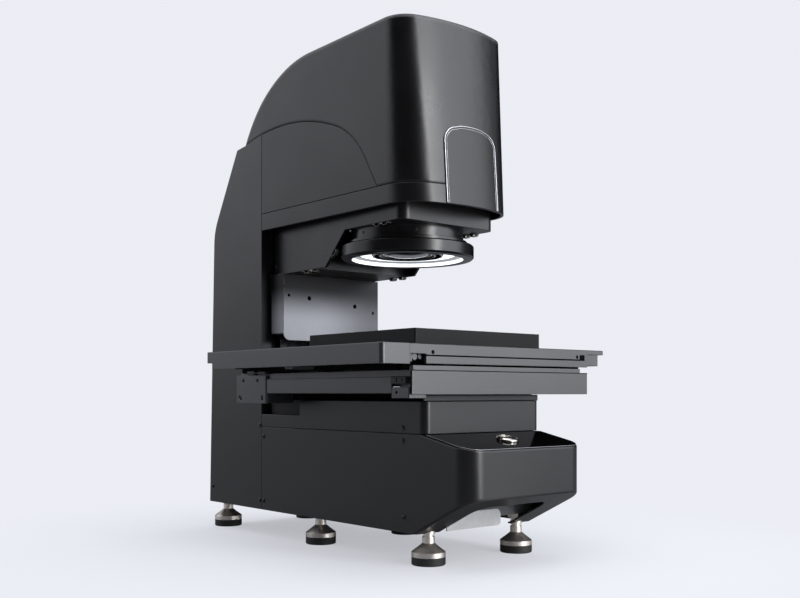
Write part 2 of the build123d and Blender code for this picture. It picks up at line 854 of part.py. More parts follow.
def make_tray():
    """Square sheet tray that stands loose on the table."""
    size = tray_size
    z = (table_top, table_top + tray_height)
    outer = block((-size / 2, size / 2), span(tray_centre, size), z)
    outer = fillet(outer.edges().filter_by(Axis.Z), tray_corner)
    inner_size = size - 2 * tray_wall
    inner = block(
        (-inner_size / 2, inner_size / 2), span(tray_centre, inner_size), (z[0] + tray_wall, z[1] + 1)
    )
    inner = fillet(inner.edges().filter_by(Axis.Z), tray_corner - tray_wall)
    save("parts_tray", outer - inner)


# Measuring head


def arm_outline():
    """Side outline of the arm: deep at the column, shallow over the lens."""
    points = Polyline(
        (carriage_face, arm_deep_bottom),
        (arm_break_low, arm_deep_bottom),
        (arm_break_high, arm_shallow_bottom),
        (arm_front, arm_shallow_bottom),
        (arm_front, arm_top),
        (carriage_face, arm_top),
        close=True,
    )
    return make_face(points)


def make_arm():
    """Cast arm of the Z axis: an open-topped tub between two deep side plates."""
    x = arm_half_width
    body = across(arm_outline(), x)
    body &= fillet(
        block((-x, x), (arm_front, beyond), (0, beyond)).edges().filter_by(Axis.Z).group_by(Axis.Y)[0], arm_corner
    )
    inner_x = x - arm_wall
    inner = (-inner_x, inner_x)
    deep_z = (arm_deep_bottom + arm_wall, beyond)
    shallow_z = (arm_shallow_bottom + arm_wall, beyond)
    body -= block(inner, (arm_box_front + arm_wall, carriage_face - 8), deep_z)
    body -= block(inner, (arm_front + arm_wall, arm_box_front + 6), shallow_z)
    body -= block(inner, (arm_front, arm_box_front), (0, arm_shallow_bottom))
    seat = (arm_shallow_bottom, arm_shallow_bottom + 14)
    body += rod(lens_radius + 12, seat, 0, lens_y)
    body += block((-inner_x - 1, inner_x + 1), (-30, -22), (seat[0] + 1, seat[1] + 10))
    body -= rod(lens_radius + seat_gap / 3, (0, beyond), 0, lens_y)
    save("z_arm", body)


def make_carriage():
    """Plate that rides on the Z rails, and the folded shroud in front of it."""
    x = carriage_half_width
    plate = block((-x, x), (carriage_face, carriage_back), (carriage_bottom, carriage_top))
    for z in (400, 447, 495):
        plate -= block((-38, 38), (carriage_face - 1, carriage_face + 6), span(z, 30))
    plate += block((-20, 20), (carriage_back - 1, carriage_back + 3), (428, 468))
    plate -= rod(nut_radius + 0.4, (400, 500), 0, z_screw_y)
    save("z_carriage", plate)

    x = shroud_half_width
    z = (shroud_bottom, arm_deep_bottom - seat_gap)
    front = rect((-x, z[0]), (x, z[1]))
    front = fillet(front.vertices().group_by(Axis.Y)[0], shroud_corner)
    for hole_x, hole_z, radius in shroud_holes:
        front -= Pos(hole_x, hole_z) * Circle(radius)
    body = Pos(0, shroud_front + cover_wall, 0) * extrude(Plane.XZ * front, amount=cover_wall)
    returns = block((-x, x), (shroud_front + 1, carriage_face - seat_gap), (z[0] + shroud_corner, z[1]))
    hollow_y = (shroud_front, carriage_face - cover_wall - seat_gap)
    returns -= block((-x + cover_wall, x - cover_wall), hollow_y, (z[0], z[1] + 1))
    inner = carriage_half_width - 14
    returns -= block((-inner, inner), (shroud_front + 10, carriage_face + 1), (z[0], z[1] + 1))
    save("carriage_shroud", body + returns)


def make_ring_light():
    """Ring lamp: mount, housing channel and the dished diffuser that faces the work."""
    place = Pos(0, lens_y, 0)
    mount_z = (ring_top + ring_tier_height, arm_shallow_bottom)
    mount = tube(ring_mount_radius, ring_bore_radius, mount_z)
    set_screw_z = sum(mount_z) / 2
    for angle in range(0, 360, 60):
        hole = Pos(ring_mount_radius, 0, set_screw_z) * Rot(0, 90, 0) * Cylinder(2.2, 16)
        mount -= Rot(0, 0, angle) * hole
    save("ring_light_mount", place * mount)

    lamp_low = ring_bottom + 1.0
    section = Polyline(
        (ring_bore_radius, ring_top + ring_tier_height),
        (ring_tier_radius, ring_top + ring_tier_height),
        (ring_tier_radius, ring_top),
        (ring_radius - 2, ring_top),
        (ring_radius, ring_top - 2),
        (ring_radius, ring_bottom + 3),
        (ring_radius - 3, ring_bottom),
        (ring_lamp_radius + 0.2, ring_bottom),
        (ring_lamp_radius + 0.2, lamp_low + 5),
        (ring_bore_radius + 2.2, lamp_low + 5 + ring_lamp_rise),
        (ring_bore_radius + 2.2, lamp_low + ring_lamp_rise - 1),
        (ring_bore_radius, lamp_low + ring_lamp_rise - 1),
        close=True,
    )
    housing = revolve(Plane.XZ * make_face(section), Axis.Z)
    save("ring_light_housing", place * housing)

    lamp = Polyline(
        (ring_lamp_radius, lamp_low),
        (ring_lamp_radius, lamp_low + 4.8),
        (ring_bore_radius + 2.4, lamp_low + 4.8 + ring_lamp_rise),
        (ring_bore_radius + 2.4, lamp_low + ring_lamp_rise),
        close=True,
    )
    save("ring_light_diffuser", place * revolve(Plane.XZ * make_face(lamp), Axis.Z))


def make_lens():
    """Telecentric lens with a wide front window, and the camera on top of it."""
    place = Pos(0, lens_y, 0)
    outer = Polyline(
        (0, lens_front),
        (lens_radius, lens_front),
        (lens_radius, arm_shallow_bottom - 1.0),
        (lens_radius, lens_shoulder),
        (lens_radius - 6, lens_shoulder + 4),
        (lens_neck_radius, lens_top - 12),
        (lens_neck_radius, lens_top),
        (0, lens_top),
        close=True,
    )
    barrel = revolve(Plane.XZ * make_face(outer), Axis.Z)
    barrel -= rod(lens_window_radius + 0.2, (lens_front - 1, lens_front + 10))
    flare = Cone(lens_radius - 1, lens_window_radius + 0.2, 6)
    barrel -= Pos(0, 0, lens_front + 3) * flare
    save("lens_barrel", place * barrel)

    glass = rod(lens_window_radius, (lens_front + 2.5, lens_front + 10))
    glass = chamfer(glass.edges().group_by(Axis.Z)[0], 2)
    save("lens_window", place * glass)

    size = camera_size
    camera_z = (lens_top, lens_top + camera_height)
    camera = block((-size / 2, size / 2), (-size / 2, size / 2), camera_z)
    camera = fillet(camera.edges().filter_by(Axis.Z), 3)
    for i in range(4):
        z = camera_z[0] + 10 + i * 8
        camera -= block((size / 2 - 3, size), (-size, size), (z, z + 3))
        camera -= block((-size, -size / 2 + 3), (-size, size), (z, z + 3))
    save("camera", place * camera)


# Screws and motors


z_screw_y = column_face - 11.0
y_screw_x = 51.0
y_screw_z = bed_top - 16.0
x_screw_y = -68.0
x_screw_z = table_underside - 8.5
x_screw_radius = 5.0
x_nut_radius = 7.8


def screw(radius, journal, length, journal_length):
    """Drive screw along Z from 0, with a thinner journal at each end."""
    body = rod(radius, (0, length))
    body += rod(journal, (-journal_length, 1)) + rod(journal, (length - 1, length + journal_length))
    return body


def nut(radius, bore, length):
    """Round nut with a flange at its lower end, along Z from 0."""
    body = rod(radius, (0, length))
    return body - rod(bore + running_gap, (-1, length + 1))


def make_z_drive():
    low, high = 334.0, 676.0
    shaft = Pos(0, z_screw_y, low) * screw(screw_radius, 5, high - low, 12)
    save("z_screw", shaft)
    save("z_nut", Pos(0, z_screw_y, 428) * nut(nut_radius, screw_radius, nut_length))
    y = (z_screw_y - motor_size / 2, z_screw_y + motor_size / 2)
    motor = block((-motor_size / 2, motor_size / 2), y, (252, 316))
    motor = chamfer(motor.edges().filter_by(Axis.Z), 4)
    motor -= rod(5 + running_gap, (300, 330), 0, z_screw_y)
    bracket = block((-27, 27), (y[0] + 1, column_face), (316, 320))
    bracket -= rod(9, (310, 330), 0, z_screw_y)
    save("z_motor", motor)
    top = block((-19, 19), (z_screw_y - 10, column_face + 7), (high + 2, high + 12))
    top -= rod(5 + running_gap, (high, high + 20), 0, z_screw_y)
    return bracket, top


def make_y_drive():
    low, high = -182.0, 92.0
    turn = Pos(y_screw_x, 0, y_screw_z) * Rot(-90, 0, 0)
    save("y_screw", turn * Pos(0, 0, low) * screw(screw_radius, 5, high - low, 14))
    nut_y = 30.0
    body = turn * Pos(0, 0, nut_y) * nut(nut_radius, screw_radius, nut_length)
    bridge = block(
        (y_screw_x - 12, y_screw_x + 12), (nut_y, nut_y + nut_length), (y_screw_z + 5, saddle_bottom)
    )
    bridge -= turn * Pos(0, 0, nut_y - 5) * rod(screw_radius + 1.5, (0, nut_length + 10))
    save("y_nut", body + bridge)
    size = motor_size - 4
    x = (y_screw_x - size / 2 - 3, y_screw_x + size / 2 - 3)
    z = (bed_channel_floor, bed_top - 3)
    motor = block(x, (bed_front + casting_wall, low - 6), z)
    motor = chamfer(motor.edges().filter_by(Axis.Y), 4)
    motor -= turn * Pos(0, 0, low - 20) * rod(5 + running_gap, (0, 30))
    save("y_motor", motor)
    post = block((y_screw_x - 14, y_screw_x + 14), (high + 3, high + 13), (bed_channel_floor, bed_top - 3))
    post -= turn * Pos(0, 0, high - 5) * rod(5 + running_gap, (0, 30))
    return post


def make_x_drive():
    """The X screw hangs on the table and turns in a nut that stands on the saddle."""
    low, high = table_left + 13, flange_start - 20
    turn = Pos(0, x_screw_y, x_screw_z) * Rot(0, 90, 0)
    save("x_screw", turn * Pos(0, 0, low) * screw(x_screw_radius, 3.5, high - low, 16))
    nut_x = (38.0, 66.0)
    body = turn * Pos(0, 0, nut_x[0]) * nut(x_nut_radius, x_screw_radius, nut_x[1] - nut_x[0])
    seat = block(nut_x, (x_screw_y - 12, x_screw_y + 12), (saddle_top, x_screw_z - 3))
    seat -= turn * rod(x_screw_radius + 1.5, (nut_x[0] - 5, nut_x[1] + 5))
    save("x_nut", body + seat)
    bearings = []
    for x in ((low - 14, low - 5), (high + 3, high + 12)):
        hanger = block(x, (x_screw_y - 9, x_screw_y + 9), (x_screw_z - 7, table_underside))
        bearings.append(hanger - turn * rod(3.5 + running_gap, (x[0] - 1, x[1] + 1)))
    save("x_screw_bearings", *bearings)
    size = small_motor_size
    motor_y = span(x_screw_y, size)
    motor_x = (-table_half_width + cover_wall + 7.5, low - 14.5)
    motor = block(motor_x, motor_y, span(x_screw_z, size))
    motor = chamfer(motor.edges().filter_by(Axis.X), 3)
    motor -= turn * rod(3.5 + running_gap, (low - 18, low))
    save("x_motor", motor)


def make_profile_lamp():
    """Lamp on the bed below the lens, which lights the glass from underneath."""
    lamp = rod(22, (bed_channel_floor, saddle_bottom - 4)) - rod(17, (saddle_bottom - 9, saddle_bottom))
    lamp = Pos(0, lens_y, 0) * lamp
    save("profile_lamp", lamp)


# Feet


def make_feet():
    """Six levelling feet: rubber pad, plated cone with its threaded stud, and lock nut."""
    places = [Pos(side * foot_x, y, 0) for y in foot_rows for side in (-1, 1)]
    pad = rod(foot_radius, (0, pad_height))
    pad = chamfer(pad.edges().group_by(Axis.Z)[0], 1.2)
    save("foot_pads", *[place * pad for place in places])

    band_top = pad_height + band_height
    cone_top = band_top + cone_height
    neck_top = foot_height + 4
    section = Polyline(
        (0, pad_height),
        (foot_radius, pad_height),
        (foot_radius, band_top),
        (neck_radius + 6, cone_top - 5),
        (neck_radius, cone_top),
        (neck_radius, neck_top - 6 - groove_height),
        (groove_radius, neck_top - 6 - groove_height),
        (groove_radius, neck_top - 6),
        (neck_radius, neck_top - 6),
        (neck_radius, neck_top),
        (stud_radius, neck_top),
        (stud_radius, base_casting_bottom + 40),
        (0, base_casting_bottom + 40),
        close=True,
    )
    stud = revolve(Plane.XZ * make_face(section), Axis.Z)
    save("foot_studs", *[place * stud for place in places])
    flat_radius = 13.0
    hexagon = extrude(RegularPolygon(flat_radius, 6), amount=8)
    lock = Pos(0, 0, base_casting_bottom - 8) * hexagon - rod(stud_radius + seat_gap / 2, (0, 100))
    save("foot_nuts", *[place * lock for place in places])


# Connections on the back


def make_connector_panel():
    """Small panel behind the opening in the column cover, with a mains inlet and two sockets."""
    y = (344.0, 347.0)
    panel = block((-68, 68), y, (68, 134))
    inlet_at = (-32.0, 101.0)
    panel -= block(span(inlet_at[0], 28), (330, 350), span(inlet_at[1], 21))
    port_x = (16.0, 42.0)
    for x in port_x:
        panel -= block(span(x, 17), (330, 350), span(101, 15))
    save("connector_panel", panel)

    depth = y[1] - 25
    body = block(span(inlet_at[0], 27.4), (depth, y[1] + 1), span(inlet_at[1], 20.4))
    body += block(span(inlet_at[0], 40), (y[1], y[1] + 2.5), span(inlet_at[1], 24))
    body = fillet(body.edges().filter_by(Axis.Y).group_by(Axis.Z)[-1], 2)
    body -= block(span(inlet_at[0], 24), (depth + 5, y[1] + 3), span(inlet_at[1], 16.5))
    for dx, dz in ((-7, -2.5), (0, 2.5), (7, -2.5)):
        body += block(span(inlet_at[0] + dx, 2), (depth + 4, y[1] - 5), span(inlet_at[1] + dz, 4))
    save("power_inlet", body)

    ports = []
    for x in port_x:
        port = block(span(x, 16.4), (y[1] - 18, y[1] + 1.5), span(101, 14.4))
        ports.append(port - block(span(x, 12), (y[1] - 13, y[1] + 2), span(101, 9)))
    save("data_sockets", *ports)


def main():
    make_base_casting()
    make_column_casting()
    make_y_bed()
    make_base_cover()
    make_control_panel()
    make_power_button()
    make_riser_cover()
    make_column_cover()
    make_head_covers()
    make_y_guides()
    make_x_guides()
    make_z_guides()
    make_saddle()
    make_saddle_covers()
    make_table()
    make_table_covers()
    make_tray()
    make_arm()
    make_carriage()
    make_ring_light()
    make_lens()
    save("screw_supports", *make_z_drive(), make_y_drive())
    make_x_drive()
    make_profile_lamp()
    make_feet()
    make_connector_panel()


main()
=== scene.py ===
import math

import bmesh
import bpy
from mathutils import Matrix, Vector
from mathutils.bvhtree import BVHTree


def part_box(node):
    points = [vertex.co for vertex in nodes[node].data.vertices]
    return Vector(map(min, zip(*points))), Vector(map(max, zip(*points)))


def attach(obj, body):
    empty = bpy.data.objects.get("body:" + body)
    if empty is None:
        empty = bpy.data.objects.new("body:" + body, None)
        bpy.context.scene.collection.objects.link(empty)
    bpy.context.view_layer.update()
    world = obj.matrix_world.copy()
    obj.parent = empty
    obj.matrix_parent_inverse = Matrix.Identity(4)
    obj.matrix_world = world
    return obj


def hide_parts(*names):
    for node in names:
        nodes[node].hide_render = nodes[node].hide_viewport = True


# Vision measuring machine. X runs across, -Y is the front and Z is up.
# Blender gets metres; the numbers of the shapes are in millimetres.

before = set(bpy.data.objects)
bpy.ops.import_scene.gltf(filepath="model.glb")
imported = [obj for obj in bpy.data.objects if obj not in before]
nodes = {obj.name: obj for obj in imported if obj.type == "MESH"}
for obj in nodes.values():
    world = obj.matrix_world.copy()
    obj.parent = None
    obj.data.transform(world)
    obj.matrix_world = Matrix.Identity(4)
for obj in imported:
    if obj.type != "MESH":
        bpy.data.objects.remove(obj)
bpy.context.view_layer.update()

mm = 0.001
left, right, front, back, up, down = (-1, 0, 0), (1, 0, 0), (0, -1, 0), (0, 1, 0), (0, 0, 1), (0, 0, -1)

cover_half = 121
arm_half = 98
lens_y = -83
panel_fall = 19
panel_depth = 91
panel_normal = (0, -panel_fall, panel_depth)
stage_front = -300.0
badge_foot = 534.2
badge_left, badge_right = -47, 64
saddle_left = -178.8


# Node graph helpers


def add(tree, kind, **settings):
    """A node with its settings and its unlinked inputs filled in."""
    node = tree.nodes.new(kind)
    for key, value in settings.items():
        if hasattr(node, key):
            setattr(node, key, value)
        else:
            node.inputs[key.replace("_", " ")].default_value = value
    return node


def join(tree, source, target):
    """Links an output to an input."""
    tree.links.new(source, target)


def fill(tree, socket, value):
    """Sets an input to a number or a vector, or links it to a socket."""
    if isinstance(value, bpy.types.NodeSocket):
        join(tree, value, socket)
    else:
        socket.default_value = value


def maths(tree, operation, *values, clamp=False):
    """A maths node between sockets or plain numbers."""
    node = tree.nodes.new("ShaderNodeMath")
    node.operation = operation
    node.use_clamp = clamp
    for socket, value in zip(node.inputs, values):
        fill(tree, socket, value)
    return node.outputs[0]


def product(tree, first, *others):
    """Several masks or numbers, multiplied."""
    for value in others:
        first = maths(tree, "MULTIPLY", first, value)
    return first


def vector_maths(tree, operation, *values):
    """A vector maths node; lengths and dot products come out as a number."""
    node = tree.nodes.new("ShaderNodeVectorMath")
    node.operation = operation
    for socket, value in zip(node.inputs, values):
        fill(tree, socket, value)
    return node.outputs["Value" if operation in ("DOT_PRODUCT", "LENGTH") else "Vector"]


def axes(tree, vector):
    """The X, Y and Z of a vector, by name."""
    parts = tree.nodes.new("ShaderNodeSeparateXYZ")
    join(tree, vector, parts.inputs[0])
    return parts.outputs


def spread(tree, value, low, high, new_low=0.0, new_high=1.0):
    """Maps a value from one range to another, with soft ends."""
    node = tree.nodes.new("ShaderNodeMapRange")
    node.interpolation_type = "SMOOTHSTEP"
    join(tree, value, node.inputs["Value"])
    settings = {"From Min": low, "From Max": high, "To Min": new_low, "To Max": new_high}
    for key, number in settings.items():
        fill(tree, node.inputs[key], number)
    return node.outputs["Result"]


def object_point(tree, stretch=None):
    """The point on the object, with an optional stretch of the pattern."""
    point = tree.nodes.new("ShaderNodeTexCoord").outputs["Object"]
    if stretch is None:
        return point
    mapping = tree.nodes.new("ShaderNodeMapping")
    join(tree, point, mapping.inputs["Vector"])
    fill(tree, mapping.inputs["Scale"], stretch)
    return mapping.outputs["Vector"]


def noise(tree, point, scale, detail=2.0, roughness=0.5):
    """Soft cloudy pattern from 0 to 1."""
    node = tree.nodes.new("ShaderNodeTexNoise")
    for key, value in (("Vector", point), ("Scale", scale), ("Detail", detail), ("Roughness", roughness)):
        fill(tree, node.inputs[key], value)
    return node.outputs["Fac"]


def new_group(name, inputs, outputs):
    """A shader node group with named sockets."""
    tree = bpy.data.node_groups.new(name, "ShaderNodeTree")
    for label, kind, value in inputs:
        socket = tree.interface.new_socket(label, in_out="INPUT", socket_type=kind)
        socket.default_value = value
    for label, kind in outputs:
        tree.interface.new_socket(label, in_out="OUTPUT", socket_type=kind)
    return tree, tree.nodes.new("NodeGroupInput"), tree.nodes.new("NodeGroupOutput")


NUMBER = "NodeSocketFloat"
VECTOR = "NodeSocketVector"


# Shared surface effects


def make_paint_grain():
    """Fine bumps of sprayed paint, with a broader unevenness under them."""
    inputs = [("Fine Scale", NUMBER, 900.0), ("Broad Scale", NUMBER, 60.0), ("Broad Part", NUMBER, 0.4)]
    tree, given, out = new_group("paint_grain", inputs, [("Height", NUMBER), ("Tone", NUMBER)])
    point = object_point(tree)
    fine = noise(tree, point, given.outputs["Fine Scale"], 3.0, 0.55)
    broad = noise(tree, point, given.outputs["Broad Scale"], 2.0)
    part = maths(tree, "MULTIPLY", broad, given.outputs["Broad Part"])
    join(tree, maths(tree, "ADD", fine, part), out.inputs["Height"])
    join(tree, maths(tree, "MULTIPLY", fine, broad), out.inputs["Tone"])
    return tree


def make_edge_wear():
    """Mask of convex edges, broken up so that it isn't even."""
    inputs = [("Radius", NUMBER, 0.8 * mm), ("Strength", NUMBER, 4.0), ("Break Scale", NUMBER, 90.0)]
    tree, given, out = new_group("edge_wear_and_highlight", inputs, [("Mask", NUMBER)])
    rounded = tree.nodes.new("ShaderNodeBevel")
    rounded.samples = 4
    join(tree, given.outputs["Radius"], rounded.inputs["Radius"])
    flat = tree.nodes.new("ShaderNodeNewGeometry")
    same = vector_maths(tree, "DOT_PRODUCT", rounded.outputs["Normal"], flat.outputs["Normal"])
    bent = maths(tree, "SUBTRACT", 1.0, same)
    edge = maths(tree, "MULTIPLY", bent, given.outputs["Strength"], clamp=True)
    broken = spread(tree, noise(tree, object_point(tree), given.outputs["Break Scale"], 4.0), 0.38, 0.62)
    join(tree, maths(tree, "MULTIPLY", edge, broken), out.inputs["Mask"])
    return tree


def make_handling():
    """Soft patches where hands and cloths have been, with faint wipe marks."""
    inputs = [("Patch Scale", NUMBER, 9.0), ("Wipe Scale", NUMBER, 70.0)]
    tree, given, out = new_group("handling", inputs, [("Mask", NUMBER)])
    patches = spread(tree, noise(tree, object_point(tree), given.outputs["Patch Scale"], 3.0), 0.35, 0.7)
    wipes = noise(tree, object_point(tree, (1.0, 0.25, 3.0)), given.outputs["Wipe Scale"], 3.0, 0.6)
    join(tree, maths(tree, "MULTIPLY", patches, wipes), out.inputs["Mask"])
    return tree


def make_brushing():
    """Fine parallel lines of grinding, brushing or turning along one axis."""
    inputs = [("Stretch", VECTOR, (1.0, 40.0, 40.0)), ("Scale", NUMBER, 30.0)]
    tree, given, out = new_group("brushing", inputs, [("Height", NUMBER), ("Tone", NUMBER)])
    point = object_point(tree, given.outputs["Stretch"])
    lines = noise(tree, point, given.outputs["Scale"], 5.0, 0.65)
    join(tree, lines, out.inputs["Height"])
    join(tree, spread(tree, lines, 0.3, 0.7), out.inputs["Tone"])
    return tree


def make_dust():
    """Thin dust that settles on faces that look up."""
    inputs = [("Amount", NUMBER, 0.1), ("Scale", NUMBER, 260.0)]
    tree, given, out = new_group("dust", inputs, [("Mask", NUMBER)])
    normal = tree.nodes.new("ShaderNodeNewGeometry").outputs["Normal"]
    upward = spread(tree, axes(tree, normal)["Z"], 0.6, 1.0)
    specks = spread(tree, noise(tree, object_point(tree), given.outputs["Scale"], 4.0), 0.45, 0.75)
    mask = product(tree, upward, specks)
    join(tree, maths(tree, "MULTIPLY", mask, given.outputs["Amount"], clamp=True), out.inputs["Mask"])
    return tree


effects = {
    "paint_grain": make_paint_grain(),
    "edge_wear_and_highlight": make_edge_wear(),
    "handling": make_handling(),
    "brushing": make_brushing(),
    "dust": make_dust(),
}


def effect(tree, name, **values):
    """One of the shared effects, placed in a material with its own values."""
    node = tree.nodes.new("ShaderNodeGroup")
    node.node_tree = effects[name]
    for key, value in values.items():
        node.inputs[key.replace("_", " ")].default_value = value
    return node.outputs


def blend_colour(tree, mask, first, second):
    """Mixes two colours by a mask; either may be a socket."""
    node = tree.nodes.new("ShaderNodeMix")
    node.data_type = "RGBA"
    join(tree, mask, node.inputs[0])
    for place, value in ((6, first), (7, second)):
        fill(tree, node.inputs[place], (*value, 1.0) if isinstance(value, tuple) else value)
    return node.outputs[2]


def darker(colour, share):
    """The same colour at a share of its strength."""
    return tuple(part * share for part in colour)


def start_material(name, **shader_values):
    """A new material with its node tree and its shader."""
    material = bpy.data.materials.new(name)
    material.use_nodes = True
    tree = material.node_tree
    shader = tree.nodes["Principled BSDF"]
    for key, value in shader_values.items():
        shader.inputs[key.replace("_", " ")].default_value = value
    return material, tree, shader


def set_bump(tree, shader, height, distance, edge_radius=0.0):
    """Fine relief, over edges that are shaded round where a radius is given."""
    bump = tree.nodes.new("ShaderNodeBump")
    bump.inputs["Distance"].default_value = distance
    join(tree, height, bump.inputs["Height"])
    if edge_radius:
        rounded = tree.nodes.new("ShaderNodeBevel")
        rounded.samples = 6
        rounded.inputs["Radius"].default_value = edge_radius
        join(tree, rounded.outputs["Normal"], bump.inputs["Normal"])
    join(tree, bump.outputs["Normal"], shader.inputs["Normal"])


def painted(
    name, colour, edge_colour_worn_and_lit, roughness, grain=(900.0, 0.012 * mm), wear=0.5, dust=0.06, metallic=0.0, edge_radius=0.0,
    specular=0.5,
):
    """Sprayed or moulded finish: even tone, fine grain, edges lightened as wear and as painted highlight, wipe marks
    and a little dust.
    """
    material, tree, shader = start_material(name, Metallic=metallic, Specular_IOR_Level=specular)
    grains = effect(tree, "paint_grain", Fine_Scale=grain[0], Broad_Scale=grain[0] / 15)
    edges = effect(tree, "edge_wear_and_highlight")
    marks = effect(tree, "handling")
    settled = effect(tree, "dust", Amount=dust)
    tone = spread(tree, grains["Tone"], 0.1, 0.45)
    body = blend_colour(tree, tone, darker(colour, 0.82), colour)
    # The lighter edges are partly real wear and partly a painted highlight, the thin bright line that lit edges
    # show.
    worn_and_lit_edges = blend_colour(tree, product(tree, edges["Mask"], wear), body, edge_colour_worn_and_lit)
    dusty = blend_colour(tree, settled["Mask"], worn_and_lit_edges, (0.30, 0.29, 0.28))
    join(tree, dusty, shader.inputs["Base Color"])
    patchy = maths(tree, "MULTIPLY_ADD", marks["Mask"], -0.10, roughness + 0.02)
    join(tree, maths(tree, "ADD", patchy, product(tree, edges["Mask"], -0.08)), shader.inputs["Roughness"])
    set_bump(tree, shader, grains["Height"], grain[1], edge_radius)
    return material


def metal(name, colour, roughness, stretch=(1.0, 40.0, 40.0), scale=30.0, height=0.01 * mm, dull=0.7):
    """Bare or plated metal with the lines of the tool that finished it."""
    material, tree, shader = start_material(name, Metallic=1.0)
    lines = effect(tree, "brushing", Stretch=stretch, Scale=scale)
    marks = effect(tree, "handling", Patch_Scale=25.0)
    edges = effect(tree, "edge_wear_and_highlight", Radius=0.4 * mm)
    shaded = blend_colour(tree, lines["Tone"], darker(colour, dull), colour)
    bright = blend_colour(tree, edges["Mask"], shaded, tuple(min(1.0, c * 1.15) for c in colour))
    join(tree, bright, shader.inputs["Base Color"])
    uneven = maths(tree, "MULTIPLY_ADD", marks["Mask"], 0.12, roughness)
    join(tree, maths(tree, "ADD", uneven, product(tree, lines["Tone"], 0.05)), shader.inputs["Roughness"])
    set_bump(tree, shader, lines["Height"], height)
    return material


def glass(name, colour, roughness, ior):
    """Clear glass with faint wipe marks."""
    material, tree, shader = start_material(name, Transmission_Weight=1.0, IOR=ior)
    marks = effect(tree, "handling", Patch_Scale=30.0)
    tinted = blend_colour(tree, marks["Mask"], colour, darker(colour, 0.94))
    join(tree, tinted, shader.inputs["Base Color"])
    join(tree, maths(tree, "MULTIPLY_ADD", marks["Mask"], 0.04, roughness), shader.inputs["Roughness"])
    grains = effect(tree, "paint_grain", Fine_Scale=400.0)
    set_bump(tree, shader, grains["Height"], 0.0005 * mm)
    return material


def make_lamp_white():
    """Lit diffuser: even white light with a faint ripple from the lamps behind it."""
    material, tree, shader = start_material("lamp_white", Emission_Strength=1.25)
    grains = effect(tree, "paint_grain", Fine_Scale=350.0)
    ripple = spread(tree, grains["Tone"], 0.1, 0.5)
    glow = blend_colour(tree, ripple, (0.90, 0.95, 1.0), (0.96, 0.98, 1.0))
    join(tree, glow, shader.inputs["Emission Color"])
    join(tree, glow, shader.inputs["Base Color"])
    marks = effect(tree, "handling")
    join(tree, maths(tree, "ADD", product(tree, marks["Mask"], 0.1), 0.35), shader.inputs["Roughness"])
    set_bump(tree, shader, grains["Height"], 0.01 * mm)
    return material


def make_lens_glass():
    """Front glass of the lens: almost black, with the blue green sheen of its coating."""
    material, tree, shader = start_material(
        "lens_glass", IOR=1.62, Coat_Weight=1.0, Coat_Roughness=0.02, Specular_IOR_Level=0.8
    )
    turned_away = add(tree, "ShaderNodeLayerWeight", Blend=0.35)
    tint = blend_colour(tree, turned_away.outputs["Facing"], (0.010, 0.020, 0.022), (0.030, 0.022, 0.050))
    marks = effect(tree, "handling", Patch_Scale=60.0)
    smeared = blend_colour(tree, product(tree, marks["Mask"], 0.2), tint, (0.05, 0.06, 0.07))
    join(tree, smeared, shader.inputs["Base Color"])
    join(tree, maths(tree, "ADD", product(tree, marks["Mask"], 0.05), 0.03), shader.inputs["Roughness"])
    grains = effect(tree, "paint_grain", Fine_Scale=300.0)
    set_bump(tree, shader, grains["Height"], 0.0005 * mm)
    return material


def make_shroud_painted_light():
    """Plate with painted light and shade in its colour: light grey low on its left, where the ring light falls, and
    near black towards the arm above it and towards its right side.
    """
    material, tree, shader = start_material("plate_grey", Metallic=0.6)
    grains = effect(tree, "paint_grain", Fine_Scale=1500.0, Broad_Scale=100.0)
    edges = effect(tree, "edge_wear_and_highlight")
    marks = effect(tree, "handling")
    point = axes(tree, object_point(tree))
    # Painted light and shade: the colour is lightened low on the left, where the ring light falls, and darkened
    # under the arm and to the right as painted shadow.
    low = spread(tree, point["Z"], 0.372, 0.436, 1.0, 0.0)
    near = spread(tree, point["X"], -0.03, 0.10, 1.0, 0.35)
    shade = product(tree, low, near)
    body = blend_colour(tree, shade, (0.006, 0.006, 0.007), (0.25, 0.255, 0.275))
    toned = blend_colour(tree, product(tree, grains["Tone"], shade, 0.4), body, (0.16, 0.163, 0.17))
    worn_and_lit_edges = blend_colour(tree, product(tree, edges["Mask"], 0.8), toned, (0.5, 0.5, 0.52))
    join(tree, worn_and_lit_edges, shader.inputs["Base Color"])
    join(tree, maths(tree, "MULTIPLY_ADD", marks["Mask"], -0.10, 0.44), shader.inputs["Roughness"])
    set_bump(tree, shader, grains["Height"], 0.012 * mm, 0.9 * mm)
    return material


def make_hood_black():
    """Cover paint with a painted highlight: where its rounded top edge turns upwards, the colour is lightened to a
    light grey line, as the light from above would make it.
    """
    material = painted("hood_black", cover_black, cover_edge_worn_and_lit, 0.31, edge_radius=6.0 * mm, dust=0.008)
    tree = material.node_tree
    shader = tree.nodes["Principled BSDF"]
    # Painted highlight of the top edge, masked by how far the rounded normal turns up.
    rounded = add(tree, "ShaderNodeBevel", Radius=9.0 * mm)
    rise = axes(tree, rounded.outputs[0])["Z"]
    rim = product(tree, spread(tree, rise, 0.18, 0.50), spread(tree, rise, 0.72, 0.95, 1.0, 0.0))
    painted_colour = shader.inputs["Base Color"].links[0].from_socket
    join(tree, blend_colour(tree, rim, painted_colour, (0.17, 0.17, 0.175)), shader.inputs["Base Color"])
    return material


cover_black = (0.0028, 0.0028, 0.0032)
# Edge colours: partly wear, partly a painted highlight along the lit edges.
cover_edge_worn_and_lit = (0.05, 0.05, 0.052)
gloss = (0.0022, 0.0022, 0.0025)
gloss_edge_worn_and_lit = (0.14, 0.14, 0.145)

